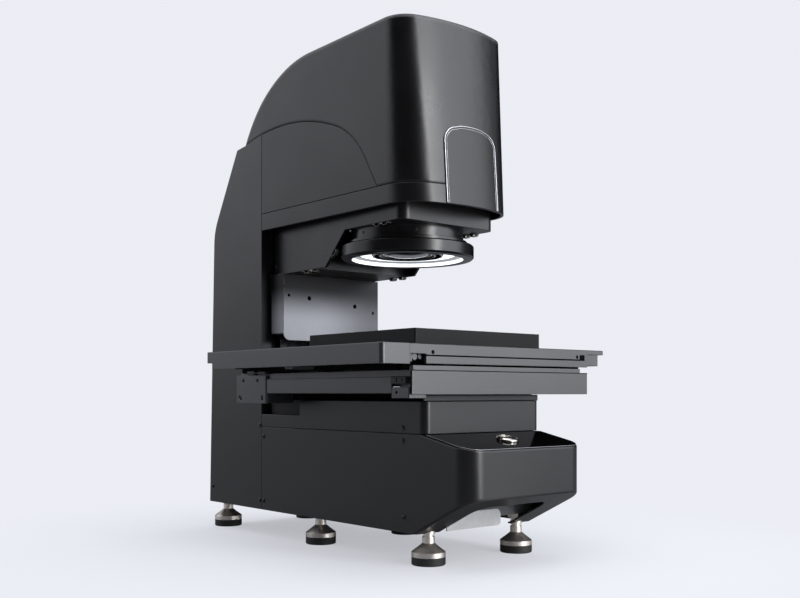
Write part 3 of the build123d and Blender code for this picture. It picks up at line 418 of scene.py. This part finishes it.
finishes = {
    "satin_black": painted("satin_black", cover_black, cover_edge_worn_and_lit, 0.33, edge_radius=1.6 * mm, dust=0.012),
    "hood_black": make_hood_black(),
    "fine_black": painted(
        "fine_black", (0.003, 0.003, 0.0034), (0.05, 0.05, 0.052), 0.26, (1400.0, 0.006 * mm), dust=0.02,
        edge_radius=0.8 * mm,
    ),
    "bed_black": painted("bed_black", (0.008, 0.008, 0.008), (0.03, 0.03, 0.03), 0.6, (260.0, 0.08 * mm)),
    "cast_grey": painted("cast_grey", (0.10, 0.103, 0.107), (0.25, 0.25, 0.26), 0.6, (260.0, 0.12 * mm)),
    # The light edge colours of the stage, tray, panel and badge finishes are partly painted highlight, the thin
    # bright lines along their edges.
    "anodised_dark": painted(
        "anodised_dark", (0.0095, 0.0095, 0.0108), (0.22, 0.22, 0.225), 0.33, (1700.0, 0.006 * mm), 0.75, 0.03,
        edge_radius=1.2 * mm, specular=0.95,
    ),
    "tray_black": painted(
        "tray_black", (0.0085, 0.0085, 0.009), (0.42, 0.42, 0.425), 0.42, (1100.0, 0.01 * mm), 0.9, 0.02,
        edge_radius=0.8 * mm, specular=0.14,
    ),
    "gloss_black": painted(
        "gloss_black", gloss, gloss_edge_worn_and_lit, 0.05, (500.0, 0.001 * mm), 0.6, 0.001,
        edge_radius=0.6 * mm, specular=0.03,
    ),
    "badge_black": painted(
        "badge_black", gloss, gloss_edge_worn_and_lit, 0.24, (500.0, 0.001 * mm), 0.6, 0.001,
        edge_radius=0.6 * mm, specular=0.42,
    ),
    # Near black without sheen: the finish of the folded way covers, and painted shade for the gaps and holes of the
    # front strips.
    "cover_black_and_painted_shade": painted("cover_black_and_painted_shade", (0.0015, 0.0015, 0.0015), (0.002, 0.002, 0.002), 0.8, dust=0.0, specular=0.05),
    "plate_grey": make_shroud_painted_light(),
    "bright_metal": metal("bright_metal", (0.80, 0.76, 0.70), 0.15, (1.0, 1.0, 60.0), 12.0, 0.003 * mm, 0.9),
    "foot_nickel": metal("foot_nickel", (0.95, 0.88, 0.80), 0.30, (1.0, 1.0, 60.0), 12.0, 0.004 * mm, 0.9),
    "edge_highlight_metal": metal("edge_highlight_metal", (0.42, 0.42, 0.44), 0.34, (20.0, 20.0, 1.0), 25.0, 0.002 * mm, 0.8),
    "silver_line": metal("silver_line", (0.62, 0.63, 0.66), 0.20, (20.0, 20.0, 1.0), 25.0, 0.002 * mm, 0.8),
    "steel": metal("steel", (0.56, 0.56, 0.55), 0.28, (30.0, 1.0, 30.0), 40.0),
    "turned_steel": metal("turned_steel", (0.5, 0.5, 0.5), 0.3, (30.0, 30.0, 30.0), 60.0),
    "blued_steel": metal("blued_steel", (0.10, 0.10, 0.105), 0.34, (30.0, 1.0, 30.0), 40.0),
    "button_metal": metal("button_metal", (0.10, 0.10, 0.105), 0.18, (30.0, 30.0, 1.0), 30.0, 0.003 * mm),
    "black_screw": painted("black_screw", (0.008, 0.008, 0.008), (0.2, 0.2, 0.2), 0.26, (2500.0, 0.004 * mm), 0.8),
    "black_plastic": painted("black_plastic", (0.012, 0.012, 0.012), (0.06, 0.06, 0.06), 0.45, (700.0, 0.03 * mm)),
    "motor_black": painted("motor_black", (0.02, 0.02, 0.021), (0.2, 0.2, 0.2), 0.4, (500.0, 0.04 * mm), 0.8),
    "rubber": painted("rubber", (0.012, 0.0115, 0.0115), (0.05, 0.05, 0.05), 0.62, (450.0, 0.08 * mm), 0.4, 0.08),
    "bare_white": painted("bare_white", (0.56, 0.56, 0.56), (0.9, 0.9, 0.88), 0.35, (900.0, 0.01 * mm), 0.4, 0.0),
    "lamp_white": make_lamp_white(),
    "lens_glass": make_lens_glass(),
    "stage_glass": glass("stage_glass", (0.90, 0.95, 0.93), 0.02, 1.5),
}

node_finishes = {
    "satin_black": [
        "base_cover", "riser_cover", "column_cover", "column_front_panel", "cheek_left", "cheek_right",
        "head_skirt", "z_arm",
    ],
    "hood_black": ["hood"],
    "bed_black": ["y_bed"],
    "cast_grey": ["base_casting", "column_casting"],
    "anodised_dark": [
        "x_table", "table_end_cover", "table_end_block", "y_saddle", "saddle_front_cover",
        "saddle_side_strips", "saddle_drive_housing", "saddle_end_clip", "screw_supports", "table_roller_bracket",
    ],
    "fine_black": ["ring_light_mount", "ring_light_housing", "lens_barrel", "camera", "z_carriage"],
    "tray_black": ["parts_tray"],
    "gloss_black": ["control_panel"],
    "badge_black": ["badge_plate"],
    "button_metal": ["power_button"],
    "blued_steel": ["y_rails", "x_guide_blocks", "x_rails", "y_guide_blocks", "z_rails"],
    "plate_grey": ["carriage_shroud"],
    "bright_metal": ["power_button_ring"],
    "foot_nickel": ["foot_studs", "foot_nuts"],
    "steel": ["z_guide_blocks", "x_screw_bearings"],
    "turned_steel": ["x_screw", "y_screw", "z_screw", "x_nut", "y_nut", "z_nut"],
    "black_plastic": ["power_switch", "power_inlet", "data_sockets", "profile_lamp", "connector_panel"],
    "motor_black": ["x_motor", "y_motor", "z_motor"],
    "rubber": ["foot_pads"],
    "lamp_white": ["ring_light_diffuser"],
    "lens_glass": ["lens_window"],
    "stage_glass": ["table_glass"],
}

edge_rounds = {"hood": 0.8, "base_cover": 0.8, "column_cover": 0.8, "table_end_cover": 0.7, "x_table": 0.7}


def soften(name, width):
    """Rounds the sharp edges of a modelled solid a little, so that they catch the light."""
    piece = nodes[name]
    for face in piece.data.polygons:
        face.use_smooth = True
    weld = piece.modifiers.new("weld", "WELD")
    weld.merge_threshold = 0.01 * mm
    rounding = piece.modifiers.new("rounding", "BEVEL")
    rounding.width = width * mm
    rounding.segments = 2
    rounding.limit_method = "ANGLE"
    rounding.angle_limit = math.radians(38)
    rounding.use_clamp_overlap = True
    rounding.miter_outer = "MITER_ARC"
    even = piece.modifiers.new("even_shading", "WEIGHTED_NORMAL")
    even.keep_sharp = False
    even.weight = 60


def dress_nodes():
    """Gives every modelled piece its finish and its rounded edges."""
    for finish, names in node_finishes.items():
        for name in names:
            piece = nodes[name]
            piece.data.materials.clear()
            piece.data.materials.append(finishes[finish])
            soften(name, edge_rounds.get(name, 0.4))


dress_nodes()


# Mesh helpers


def turned(profile, segments=48):
    """A turned shape about Z from its outline of (radius, height) points."""
    bm = bmesh.new()
    points = [bm.verts.new((radius * mm, 0, height * mm)) for radius, height in profile]
    edges = [bm.edges.new(pair) for pair in zip(points, points[1:])]
    bmesh.ops.spin(
        bm, geom=points + edges, cent=(0, 0, 0), axis=(0, 0, 1), dvec=(0, 0, 0),
        angle=2 * math.pi, steps=segments, use_merge=True,
    )
    bmesh.ops.remove_doubles(bm, verts=bm.verts, dist=0.002 * mm)
    bmesh.ops.recalc_face_normals(bm, faces=bm.faces)
    return bm


def plate(outline, thickness, round_edges=0.0, segments=2):
    """A flat plate in X and Y from its outline, with its back at Z 0, in millimetres."""
    bm = bmesh.new()
    face = bm.faces.new([bm.verts.new((x * mm, y * mm, 0)) for x, y in outline])
    grown = bmesh.ops.extrude_face_region(bm, geom=[face])
    top = [v for v in grown["geom"] if isinstance(v, bmesh.types.BMVert)]
    bmesh.ops.translate(bm, vec=(0, 0, thickness * mm), verts=top)
    bmesh.ops.recalc_face_normals(bm, faces=bm.faces)
    if round_edges:
        rim = [e for e in bm.edges if all(v.co.z > thickness * mm * 0.9 for v in e.verts)]
        bmesh.ops.bevel(
            bm, geom=rim, offset=round_edges * mm, segments=segments, profile=0.5, affect="EDGES", material=-1
        )
    return bm


def brick(low, high, round_edges=0.4, segments=2):
    """A block between two corners, with rounded edges, in millimetres."""
    bm = bmesh.new()
    bmesh.ops.create_cube(bm, size=1.0)
    size = [(b - a) * mm for a, b in zip(low, high)]
    centre = [(a + b) / 2 * mm for a, b in zip(low, high)]
    bmesh.ops.scale(bm, vec=size, verts=bm.verts)
    bmesh.ops.translate(bm, vec=centre, verts=bm.verts)
    bmesh.ops.bevel(
        bm, geom=bm.edges[:], offset=round_edges * mm, segments=segments, profile=0.5, affect="EDGES", material=-1
    )
    return bm


def stamp(template, places):
    """Copies of one shape at several places."""
    mesh = bpy.data.meshes.new("template")
    template.to_mesh(mesh)
    template.free()
    bm = bmesh.new()
    for place in places:
        before = len(bm.verts)
        bm.from_mesh(mesh)
        bm.verts.ensure_lookup_table()
        bmesh.ops.transform(bm, matrix=place, verts=bm.verts[before:])
    bpy.data.meshes.remove(mesh)
    return bm


def merged(*shapes):
    """Several shapes in one mesh."""
    bm = bmesh.new()
    for shape in shapes:
        mesh = bpy.data.meshes.new("part")
        shape.to_mesh(mesh)
        shape.free()
        bm.from_mesh(mesh)
        bpy.data.meshes.remove(mesh)
    return bm


def piece(name, bm, finish, body="frame", slot="steel", smooth=True):
    """Makes the object of a finished shape, gives it its finish and sets it on its body."""
    mesh = bpy.data.meshes.new(name)
    bm.to_mesh(mesh)
    bm.free()
    for face in mesh.polygons:
        face.use_smooth = smooth
    mesh.materials.append(finishes[finish])
    made = bpy.data.objects.new(name, mesh)
    bpy.context.scene.collection.objects.link(made)
    if smooth:
        even = made.modifiers.new("even_shading", "WEIGHTED_NORMAL")
        even.keep_sharp = False
    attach(made, body)
    return made


def at(x, y, z):
    """A move to a place in millimetres."""
    return Matrix.Translation((x * mm, y * mm, z * mm))


def facing(direction):
    """Turns +Z to face a direction."""
    return Vector(direction).to_track_quat("Z", "Y").to_matrix().to_4x4()


def moved(shape, x=0.0, y=0.0, z=0.0):
    """Moves a shape by millimetres."""
    bmesh.ops.translate(shape, vec=(x * mm, y * mm, z * mm), verts=shape.verts)
    return shape


def stood_up(shape):
    """Turns a plate in X and Y to stand in X and Z."""
    bmesh.ops.rotate(shape, cent=(0, 0, 0), matrix=Matrix.Rotation(math.pi / 2, 3, "X"), verts=shape.verts)
    return shape


def button_screw(radius=3.8, height=2.1, socket=1.25):
    """Domed screw head with a hexagon socket, standing on Z 0."""
    outline = [
        (radius, -0.6), (radius, 0.35), (radius * 0.93, height * 0.52), (radius * 0.72, height * 0.86),
        (radius * 0.5, height), (socket * 1.28, height), (socket * 1.15, height - 0.15),
        (socket * 1.15, height - 1.5), (0, height - 1.6),
    ]
    bm = turned(outline, 24)
    for vertex in bm.verts:
        reach = math.hypot(vertex.co.x, vertex.co.y)
        if mm * 0.2 < reach < socket * 1.22 * mm:
            turn = math.atan2(vertex.co.y, vertex.co.x) % (math.pi / 3) - math.pi / 6
            scale = math.cos(math.pi / 6) / math.cos(turn)
            vertex.co.x *= scale
            vertex.co.y *= scale
    return bm


def make_cover_screws():
    """Button screws along the side covers, the same on both sides."""
    spots = [
        (-214.5, 198.6), (162, 174), (174, 193), (-214.5, 180), (-217, 69), (162, 62), (174, 62), (339, 75),
    ]
    places = []
    for side, direction in ((-1, left), (1, right)):
        for y, z in spots:
            places.append(at(side * cover_half, y, z) @ facing(direction))
    piece("cover_screws", stamp(button_screw(), places), "black_screw", slot="steel")


def sweep(path, section, out, closed=True):
    """A bead along a path: each section point is (sideways, outwards) from the path, in millimetres."""
    bm = bmesh.new()
    out = Vector(out).normalized()
    count = len(path)
    rows = []
    for i, point in enumerate(path):
        before = path[i - 1] if closed or i else point
        after = path[(i + 1) % count] if closed or i + 1 < count else point
        along = (Vector(after) - Vector(before)).normalized()
        side = along.cross(out).normalized()
        rows.append([bm.verts.new((Vector(point) + side * a + out * b) * mm) for a, b in section])
    steps = count if closed else count - 1
    for i in range(steps):
        here, there = rows[i], rows[(i + 1) % count]
        for j in range(len(section)):
            k = (j + 1) % len(section)
            bm.faces.new((here[j], here[k], there[k], there[j]))
    if not closed:
        bm.faces.new(rows[0])
        bm.faces.new(rows[-1])
    bmesh.ops.recalc_face_normals(bm, faces=bm.faces)
    return bm


def arc(centre, radius, start, end, steps=8):
    """Points on a circle between two angles in degrees."""
    angles = [math.radians(start + (end - start) * i / steps) for i in range(steps + 1)]
    return [(centre[0] + radius * math.cos(a), centre[1] + radius * math.sin(a)) for a in angles]


def surface(name):
    """The faces of a modelled piece, to lay lines on."""
    shape = nodes[name]
    points = [shape.matrix_world @ vertex.co for vertex in shape.data.vertices]
    return BVHTree.FromPolygons(points, [tuple(face.vertices) for face in shape.data.polygons])


def laid_on(tree, outline):
    """Points of an outline in X and Z, moved back until they touch a front surface."""
    path = []
    for x, z in outline:
        found = tree.ray_cast(Vector((x * mm, -1.0, z * mm)), Vector(back))[0]
        if found is not None:
            path.append((x, found.y / mm, z))
    return path


def tombstone(inset):
    """Outline of the badge from its left foot, over two round shoulders and a slightly domed top."""
    left_x, right_x, foot = badge_left + inset, badge_right - inset, badge_foot
    shoulder_z, r = 628.0, 24 - inset
    half_top = (right_x - left_x) / 2 - r
    middle = (left_x + right_x) / 2
    points = [(left_x, foot + (shoulder_z - foot) * i / 8) for i in range(8)]
    points += arc((left_x + r, shoulder_z), r, 180, 96, 8)
    crown = shoulder_z + r - 0.4
    domed = [math.radians(168 - 13 * i) for i in range(13)]
    points += [(middle + half_top * math.cos(a), crown + 4.6 * math.sin(a)) for a in domed]
    points += arc((right_x - r, shoulder_z), r, 84, 0, 8)
    points += [(right_x, shoulder_z - (shoulder_z - foot) * i / 8) for i in range(1, 9)]
    return points


def make_badge_trim():
    """Bright bevelled edge round the bare badge, and a fine second line inside it."""
    face = surface("badge_plate")
    wide = [(-0.7, -0.2), (-0.55, 0.2), (0.1, 0.65), (0.65, 0.2), (0.75, -0.2)]
    fine = [(-0.3, -0.2), (-0.2, 0.15), (0.2, 0.15), (0.3, -0.2)]
    outer = sweep(laid_on(face, tombstone(0.8)), wide, front, closed=False)
    inner = sweep(laid_on(face, tombstone(4.4)), fine, front, closed=False)
    piece("badge_edge_trim", merged(outer, inner), "silver_line", slot="steel")


def make_panel_edge_highlight():
    """Painted highlight: a fine bright metal bead along the edge of the control panel, standing in for the light
    that its chamfered edge catches.
    """
    slope = panel_fall / panel_depth
    outline = [(-119.3, -265.0 - 7.2 * i) for i in range(8)] + arc((-91, -323), 28.3, 180, 270, 10)
    outline += [(-80 + 20 * i, -351.3) for i in range(9)] + arc((91, -323), 28.3, 270, 360, 10)
    outline += [(119.3, -315.4 + 7.2 * i) for i in range(8)]
    path = [(x, y, 190.25 - (-262 - y) * slope) for x, y in outline]
    section = [(-0.5, -0.4), (-0.4, 0.15), (0.0, 0.3), (0.4, 0.15), (0.5, -0.4)]
    bead = sweep(path, section, panel_normal, closed=False)
    piece("panel_edge_highlight", bead, "edge_highlight_metal", slot="steel")


def lens_ring(*section, segments=72):
    """A turned ring round the axis of the lens, from its closed section of (radius, height) points."""
    return moved(turned([*section, section[0]], segments), y=lens_y)


def make_ring_light_details():
    """Lit face set back inside the rim, with its dark seam and the dark lip of the bore."""
    lit = lens_ring(
        (90.8, 466.7), (90.3, 466.5), (90.0, 466.9), (89.9, 473.6), (88.6, 474.0), (59.4, 474.8), (58.6, 475.4),
        (58.6, 478.6), (90.8, 478.6), segments=96,
    )
    made = piece("ring_light_lit_face", lit, "lamp_white", "head", "lamp_white")
    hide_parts("ring_light_diffuser")
    seam = lens_ring((89.2, 473.1), (90.0, 473.1), (90.0, 473.9), (89.2, 473.9), segments=96)
    bore = lens_ring((55.2, 474.4), (55.6, 473.7), (58.2, 473.9), (58.9, 474.6), (58.9, 477.8), (55.2, 477.8))
    rim = lens_ring((91.6, 465.9), (93.2, 465.5), (94.8, 465.9), (94.9, 466.3), (91.4, 466.3), segments=96)
    piece("ring_light_rim_lines", merged(seam, bore, rim), "fine_black", "head", "black_plastic")
    screw = turned([(2.0, -1.4), (2.0, -0.7), (1.7, -0.5), (1.1, -0.5), (1.0, -1.0), (0, -1.0)], 16)
    mount_radius, mount_z = 91, 502.5
    places = []
    for angle in range(0, 360, 60):
        direction = Vector((math.cos(math.radians(angle)), math.sin(math.radians(angle)), 0))
        places.append(at(*(direction * mount_radius + Vector((0, lens_y, mount_z)))) @ facing(direction))
    piece("mount_set_screws", stamp(screw, places), "black_screw", "head", "steel")


def make_lens_details():
    """Bulging front glass with bright rings round it, and the stepped black collar of the lens."""
    glass_radius, bulge, rim_z, glass_back = 37.6, 8.2, 478.4, 484.0
    angles = [math.radians(6 * step) for step in range(15, -1, -1)]
    outline = [(0, glass_back), (glass_radius, glass_back)]
    outline += [(glass_radius * math.sin(a), rim_z - bulge * math.cos(a)) for a in angles]
    made = piece("lens_front_element", moved(turned(outline, 72), y=lens_y), "lens_glass", "head", "glass")
    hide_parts("lens_window")
    outer = lens_ring((38.2, 477.8), (38.4, 475.4), (39.4, 474.6), (41.6, 474.6), (42.2, 475.9), (42.2, 477.6))
    inner = lens_ring((36.9, 478.6), (37.0, 476.9), (38.0, 476.9), (38.1, 478.6))
    piece("lens_retaining_rings", merged(outer, inner), "bright_metal", "head", "steel")
    collar = lens_ring((43.4, 476.1), (43.8, 472.9), (46.4, 472.9), (46.9, 474.1), (46.9, 477.6), (43.4, 477.6))
    piece("lens_front_collar", collar, "fine_black", "head", "anodised_dark")


def clip(length, width=9.0, lift=2.2):
    """Bent spring clip, lying on Z 0 and pointing along X."""
    outline = [
        (0, 0.0), (length * 0.3, 0.0), (length * 0.42, lift), (length * 0.8, lift), (length, 0.6), (length, 1.4),
        (length * 0.82, lift + 0.9), (length * 0.38, lift + 0.9), (length * 0.27, 0.9), (0, 0.9),
    ]
    return moved(stood_up(plate(outline, width, 0.25)), y=width / 2)


def make_arm_details():
    """Bright clips and screws under the arm, and dark plugs in its sides."""
    along = Matrix.Rotation(math.pi / 2, 4, "Z")
    under = Matrix.Rotation(math.pi, 4, "X")
    level, slope = Matrix(), Matrix.Rotation(math.radians(-45), 4, "X")
    deep_z, shallow_z = 456, 511
    spots = [(y, deep_z - 0.1, level) for y in (78, 52)] + [(-3, 470.4, slope)]
    spots += [(y, shallow_z - 0.1, level) for y in (-112, -131)]
    places = [at(x, y, z) @ lean @ under @ along for x in (-93.5, 93.5) for y, z, lean in spots]
    piece("arm_cable_clips", stamp(clip(19, 8.0, 3.4), places), "bright_metal", "head", "steel")
    low = [(-84, -40, shallow_z), (84, -40, shallow_z)]
    low += [(x, y, deep_z) for x, y in ((-92, 62), (-92, 140), (92, 62), (92, 140), (-60, 150), (60, 150))]
    places = [at(*spot) @ facing(down) for spot in low]
    piece("arm_under_screws", stamp(button_screw(3.2, 1.9, 1.1), places), "bright_metal", "head", "steel")
    spots = ((11, 477), (158, 470), (40, 520), (132, 520))
    places = [at(-arm_half, y, z) @ facing(left) for y, z in spots]
    places += [at(arm_half, y, z) @ facing(right) for y, z in spots]
    plug = turned([(2.9, -0.2), (2.9, 0.12), (2.5, 0.16), (0, 0.2)], 20)
    piece("arm_side_plugs", stamp(plug, places), "black_screw", "head", "steel")


def pleats(start, end, low, high, fixed, along_x=False):
    """A pleated strip that stands on edge along Y, or along X, between two ends."""
    pitch, depth, cloth = 5, 0.7, 1.4
    count = int((end - start) / pitch)
    ends = [start + (end - start) * i / count for i in range(count + 1)]
    folded = [(a, fixed + depth * (i % 2)) for i, a in enumerate(ends)]
    outline = folded + [(a, b + cloth) for a, b in reversed(folded)]
    if not along_x:
        outline = [(b, a) for a, b in outline]
    return moved(plate(outline, high - low), z=low)


def make_way_covers():
    """Folded dark covers over the ways, and the lip that carries the riser up to the saddle."""
    bed = [pleats(-255, 158, 237.6, 258.5, x) for x in (-110.5, 108.5)]
    piece("bed_way_covers", merged(*bed), "cover_black_and_painted_shade", "frame", "rubber", smooth=False)
    lip = brick((-119.0, -259.6, 237.6), (119.0, -256.4, 246.8), 0.8)
    piece("riser_front_lip", lip, "satin_black", "frame", "satin_black")
    table = [pleats(-268, 140, 283.2, 292.0, -178.0), pleats(-268, 140, 283.2, 305.0, 186.5)]
    table.append(pleats(-172, 200, 282.2, 300.5, -274.0, along_x=True))
    table.append(pleats(-170, 170, 282.2, 289.0, 146.0, along_x=True))
    piece("table_way_covers", merged(*table), "cover_black_and_painted_shade", "table", "rubber", smooth=False)


def gap_lines(*lines):
    """Thin dark strips between two corners each: painted shade for the gaps between front strips."""
    return merged(*(brick(low, high, 0.08, 1) for low, high in lines))


def make_stage_details():
    """Screws of the drive housing, painted shade for the gaps and holes of the front strips, end stop and limit
    sensor.
    """
    heads = [at(saddle_left, y, z) @ facing(left) for y, z in ((76, 243), (146, 243), (90, 270), (134, 270))]
    piece("drive_housing_screws", stamp(button_screw(2.7, 1.6, 0.95), heads), "black_screw", "saddle", "steel")
    table_gaps = gap_lines(
        ((-153, -300.2, 300.2), (172, -298.6, 302.4)),
        ((172, -300.2, 300.2), (184, -298.6, 309.4)),
    )
    piece("table_front_shadow_gap", table_gaps, "cover_black_and_painted_shade", "table", "black_plastic", smooth=False)
    cover_gaps = gap_lines(
        ((saddle_left, -302.0, 279.9), (188.6, -300.4, 281.1)),
        ((-179.1, -301.0, 248), (-178.6, -299.0, 280)),
    )
    piece("front_cover_shadow_gap", cover_gaps, "cover_black_and_painted_shade", "saddle", "black_plastic", smooth=False)
    # Painted shade: flat dark discs stand for the holes in the table front.
    hole = turned([(2.9, -0.2), (2.9, 0.10), (2.6, 0.16), (0, 0.18)], 20)
    places = [at(x, stage_front, 306) @ facing(front) for x in (-139, 166)]
    piece("table_front_hole_shade", stamp(hole, places), "cover_black_and_painted_shade", "table", "black_plastic")
    stop = merged(
        brick((-180.8, -290, 262.4), (-160, -258, 272.5), 1.2),
        brick((-182.4, -284, 264.6), (-180, -276, 270.4), 0.8),
        brick((-182.4, -272, 264.6), (-180, -264, 270.4), 0.8),
    )
    piece("saddle_end_stop", stop, "black_plastic", "saddle", "black_plastic")
    sensor = merged(
        brick((-181.0, 96, 279.2), (-170, 118, 286.0), 1.0),
        brick((-182.0, 60, 280.0), (-172, 84, 285.0), 1.0),
        brick((-180.6, 84, 281.4), (-172, 98, 283.4), 0.5),
    )
    piece("limit_sensor", sensor, "black_plastic", "saddle", "black_plastic")


def make_notch_plate():
    """Bare plate that closes the back of the opening under the nose."""
    outline = [(-73, 48.5), (34, 48.5), (38, 52)] + arc((28, 64), 10, 0, 90, 8) + [(-73, 74)]
    shape = moved(stood_up(plate(outline, 2.2, 0.5)), y=-255.2)
    piece("notch_back_plate", shape, "bare_white", "frame", "bright_metal")


def make_rear_details():
    """Pins and contacts in the sockets, and the screws of the rear cover."""
    pins = ((-38, 99), (-26, 99), (-32, 104.5))
    blades = [brick((x - 1.0, 336, z - 2.6), (x + 1.0, 347, z + 2.6), 0.3, 1) for x, z in pins]
    piece("inlet_blades", merged(*blades), "steel", "frame", "steel")
    tongues = [brick((x - 4.4, 333.9, 99.9), (x + 4.4, 345.4, 102.1), 0.3, 1) for x in (16, 42)]
    piece("socket_tongues", merged(*tongues), "black_plastic", "frame", "black_plastic")
    shell = surface("column_cover")
    heads = []
    for x in (-108, 108):
        for z in (60, 180, 320, 470):
            found, normal = shell.ray_cast(Vector((x, 500, z)) * mm, Vector(front))[:2]
            heads.append(Matrix.Translation(found) @ facing(normal))
    heads += [at(x, 347, z) @ facing(back) for x in (-63, 63) for z in (73, 129)]
    piece("rear_cover_screws", stamp(button_screw(), heads), "black_screw", "frame", "steel")


def make_button_details():
    """Fine bright ring on the face of the power button."""
    low, high = (Vector(corner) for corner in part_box("power_button"))
    above = Vector((0, (low.y + high.y) / 2, 0.4))
    found = surface("power_button").ray_cast(above, Vector(down))[0]
    ring = turned([(7.2, -0.3), (7.2, 0.25), (7.6, 0.5), (8.2, 0.5), (8.6, 0.25), (8.6, -0.3), (7.2, -0.3)], 48)
    bmesh.ops.transform(ring, matrix=Matrix.Translation(found) @ facing(panel_normal), verts=ring.verts)
    piece("button_face_ring", ring, "bright_metal", "start_button", "steel")


make_cover_screws()
make_badge_trim()
make_panel_edge_highlight()
make_ring_light_details()
make_lens_details()
make_arm_details()
make_way_covers()
make_stage_details()
make_notch_plate()
make_rear_details()
make_button_details()


# Camera, light, floor


def make_camera():
    """Long view from the left front, level, from just under the stage."""
    data = bpy.data.cameras.new("camera_view")
    data.lens = 45.0
    data.sensor_width = 36.0
    data.shift_y = 0.1171
    data.clip_end = 50.0
    camera = bpy.data.objects.new("camera_view", data)
    bpy.context.scene.collection.objects.link(camera)
    heading = math.radians(40.03)
    camera.location = (-1.0604, -1.3263, 0.25)
    camera.rotation_euler = (math.pi / 2, 0, -heading)
    bpy.context.scene.camera = camera


backdrop_colour = (0.835, 0.85, 0.905)


def softbox(name, place, aim, size, power):
    """A wide soft light that points at a place."""
    data = bpy.data.lights.new(name, "AREA")
    data.shape = "RECTANGLE"
    data.size, data.size_y = size
    data.energy = power
    lamp = bpy.data.objects.new(name, data)
    bpy.context.scene.collection.objects.link(lamp)
    lamp.location = place
    lamp.rotation_euler = (Vector(aim) - Vector(place)).to_track_quat("-Z", "Y").to_euler()


def direction_mask(tree, direction, low, high, new_low, new_high):
    """How far the sky looks towards a direction, mapped to a range."""
    ray = tree.nodes.new("ShaderNodeTexCoord").outputs["Generated"]
    towards = vector_maths(tree, "DOT_PRODUCT", ray, Vector(direction).normalized())
    return spread(tree, towards, low, high, new_low, new_high)


def heading_mask(tree, heading, inner, outer, outside, inside):
    """The same for a heading round the machine, in degrees, at every height of the sky."""
    ray = tree.nodes.new("ShaderNodeTexCoord").outputs["Generated"]
    level = vector_maths(tree, "NORMALIZE", vector_maths(tree, "MULTIPLY", ray, (1.0, 1.0, 0.0)))
    turn = math.radians(heading)
    towards = vector_maths(tree, "DOT_PRODUCT", level, (math.cos(turn), math.sin(turn), 0.0))
    edges = math.cos(math.radians(outer)), math.cos(math.radians(inner))
    return spread(tree, towards, *edges, outside, inside)


def make_world():
    """Pale studio: the backdrop is even to the eye, and what the machine mirrors has dark and bright walls."""
    world = bpy.data.worlds.new("studio")
    bpy.context.scene.world = world
    world.use_nodes = True
    tree = world.node_tree
    background = tree.nodes["Background"]
    background.inputs["Color"].default_value = (*backdrop_colour, 1.0)
    overhead = direction_mask(tree, up, 0.60, 0.85, 0.0, 1.0)
    dark_room = maths(tree, "MAXIMUM", heading_mask(tree, 212, 42, 62, 1.0, 0.0), overhead)
    right_wall = heading_mask(tree, 352, 18, 50, 1.0, 0.10)
    back_wall = direction_mask(tree, (0.64, 0.68, 0.36), 0.55, 0.90, 1.0, 0.0)
    rising = direction_mask(tree, up, -0.08, 0.30, 0.48, 1.35)
    walls = product(tree, dark_room, right_wall, back_wall, rising)
    window = product(
        tree, heading_mask(tree, 306, 12, 36, 0.0, 3.1), direction_mask(tree, up, -0.25, 0.05, 0.6, 1.0),
        direction_mask(tree, up, 0.45, 0.8, 1.0, 0.0),
    )
    studio = maths(tree, "ADD", walls, window)
    even_light = 0.85
    rays = tree.nodes.new("ShaderNodeLightPath")
    seen = rays.outputs["Is Camera Ray"]
    mirrored = maths(tree, "MAXIMUM", rays.outputs["Is Glossy Ray"], rays.outputs["Is Transmission Ray"])
    reflected = product(tree, mirrored, maths(tree, "SUBTRACT", studio, even_light))
    indirect = maths(tree, "ADD", reflected, even_light)
    plain = product(tree, seen, maths(tree, "SUBTRACT", 1.0, indirect))
    join(tree, maths(tree, "ADD", indirect, plain), background.inputs["Strength"])


def make_floor():
    """Pale floor that keeps the shadow near the machine and fades into the backdrop."""
    bm = bmesh.new()
    bmesh.ops.create_circle(bm, cap_ends=True, radius=14.0, segments=64)
    mesh = bpy.data.meshes.new("studio_floor")
    bm.to_mesh(mesh)
    bm.free()
    floor = bpy.data.objects.new("studio_floor", mesh)
    bpy.context.scene.collection.objects.link(floor)
    material, tree, shader = start_material("studio_floor", Roughness=0.6, Specular_IOR_Level=0.2)
    rays = tree.nodes.new("ShaderNodeLightPath")

    # What the machine mirrors of the floor is dark, with a bright lane in front of the nose.
    nose, lane_direction = (-0.06, -0.28, 0.0), (0.485, -0.875, 0.0)
    from_nose = vector_maths(tree, "SUBTRACT", object_point(tree), nose)
    lane = vector_maths(tree, "DOT_PRODUCT", vector_maths(tree, "NORMALIZE", from_nose), lane_direction)
    mirrored = blend_colour(tree, spread(tree, lane, 0.90, 0.985), (0.28, 0.285, 0.30), (1.0, 1.0, 1.0))
    colour = blend_colour(tree, rays.outputs["Is Glossy Ray"], (0.84, 0.855, 0.90), mirrored)
    join(tree, colour, shader.inputs["Base Color"])

    glow = add(tree, "ShaderNodeEmission", Color=(*backdrop_colour, 1.0), Strength=1.0)
    reach = spread(tree, vector_maths(tree, "LENGTH", object_point(tree)), 0.32, 0.90, 0.52, 1.0)
    mixer = tree.nodes.new("ShaderNodeMixShader")
    join(tree, product(tree, reach, rays.outputs["Is Camera Ray"]), mixer.inputs[0])
    join(tree, shader.outputs[0], mixer.inputs[1])
    join(tree, glow.outputs[0], mixer.inputs[2])
    join(tree, mixer.outputs[0], tree.nodes["Material Output"].inputs["Surface"])
    mesh.materials.append(material)


make_camera()
make_world()
make_floor()
softbox("overhead_softbox", (0.1, 0.1, 2.4), (0, 0, 0.3), (2.2, 2.2), 26.0)
softbox("front_strip", (0.30, -2.0, 0.70), (0, -0.2, 0.45), (0.42, 1.9), 26.0)

scene = bpy.context.scene
scene.view_settings.view_transform = "Standard"

bpy.context.view_layer.update()
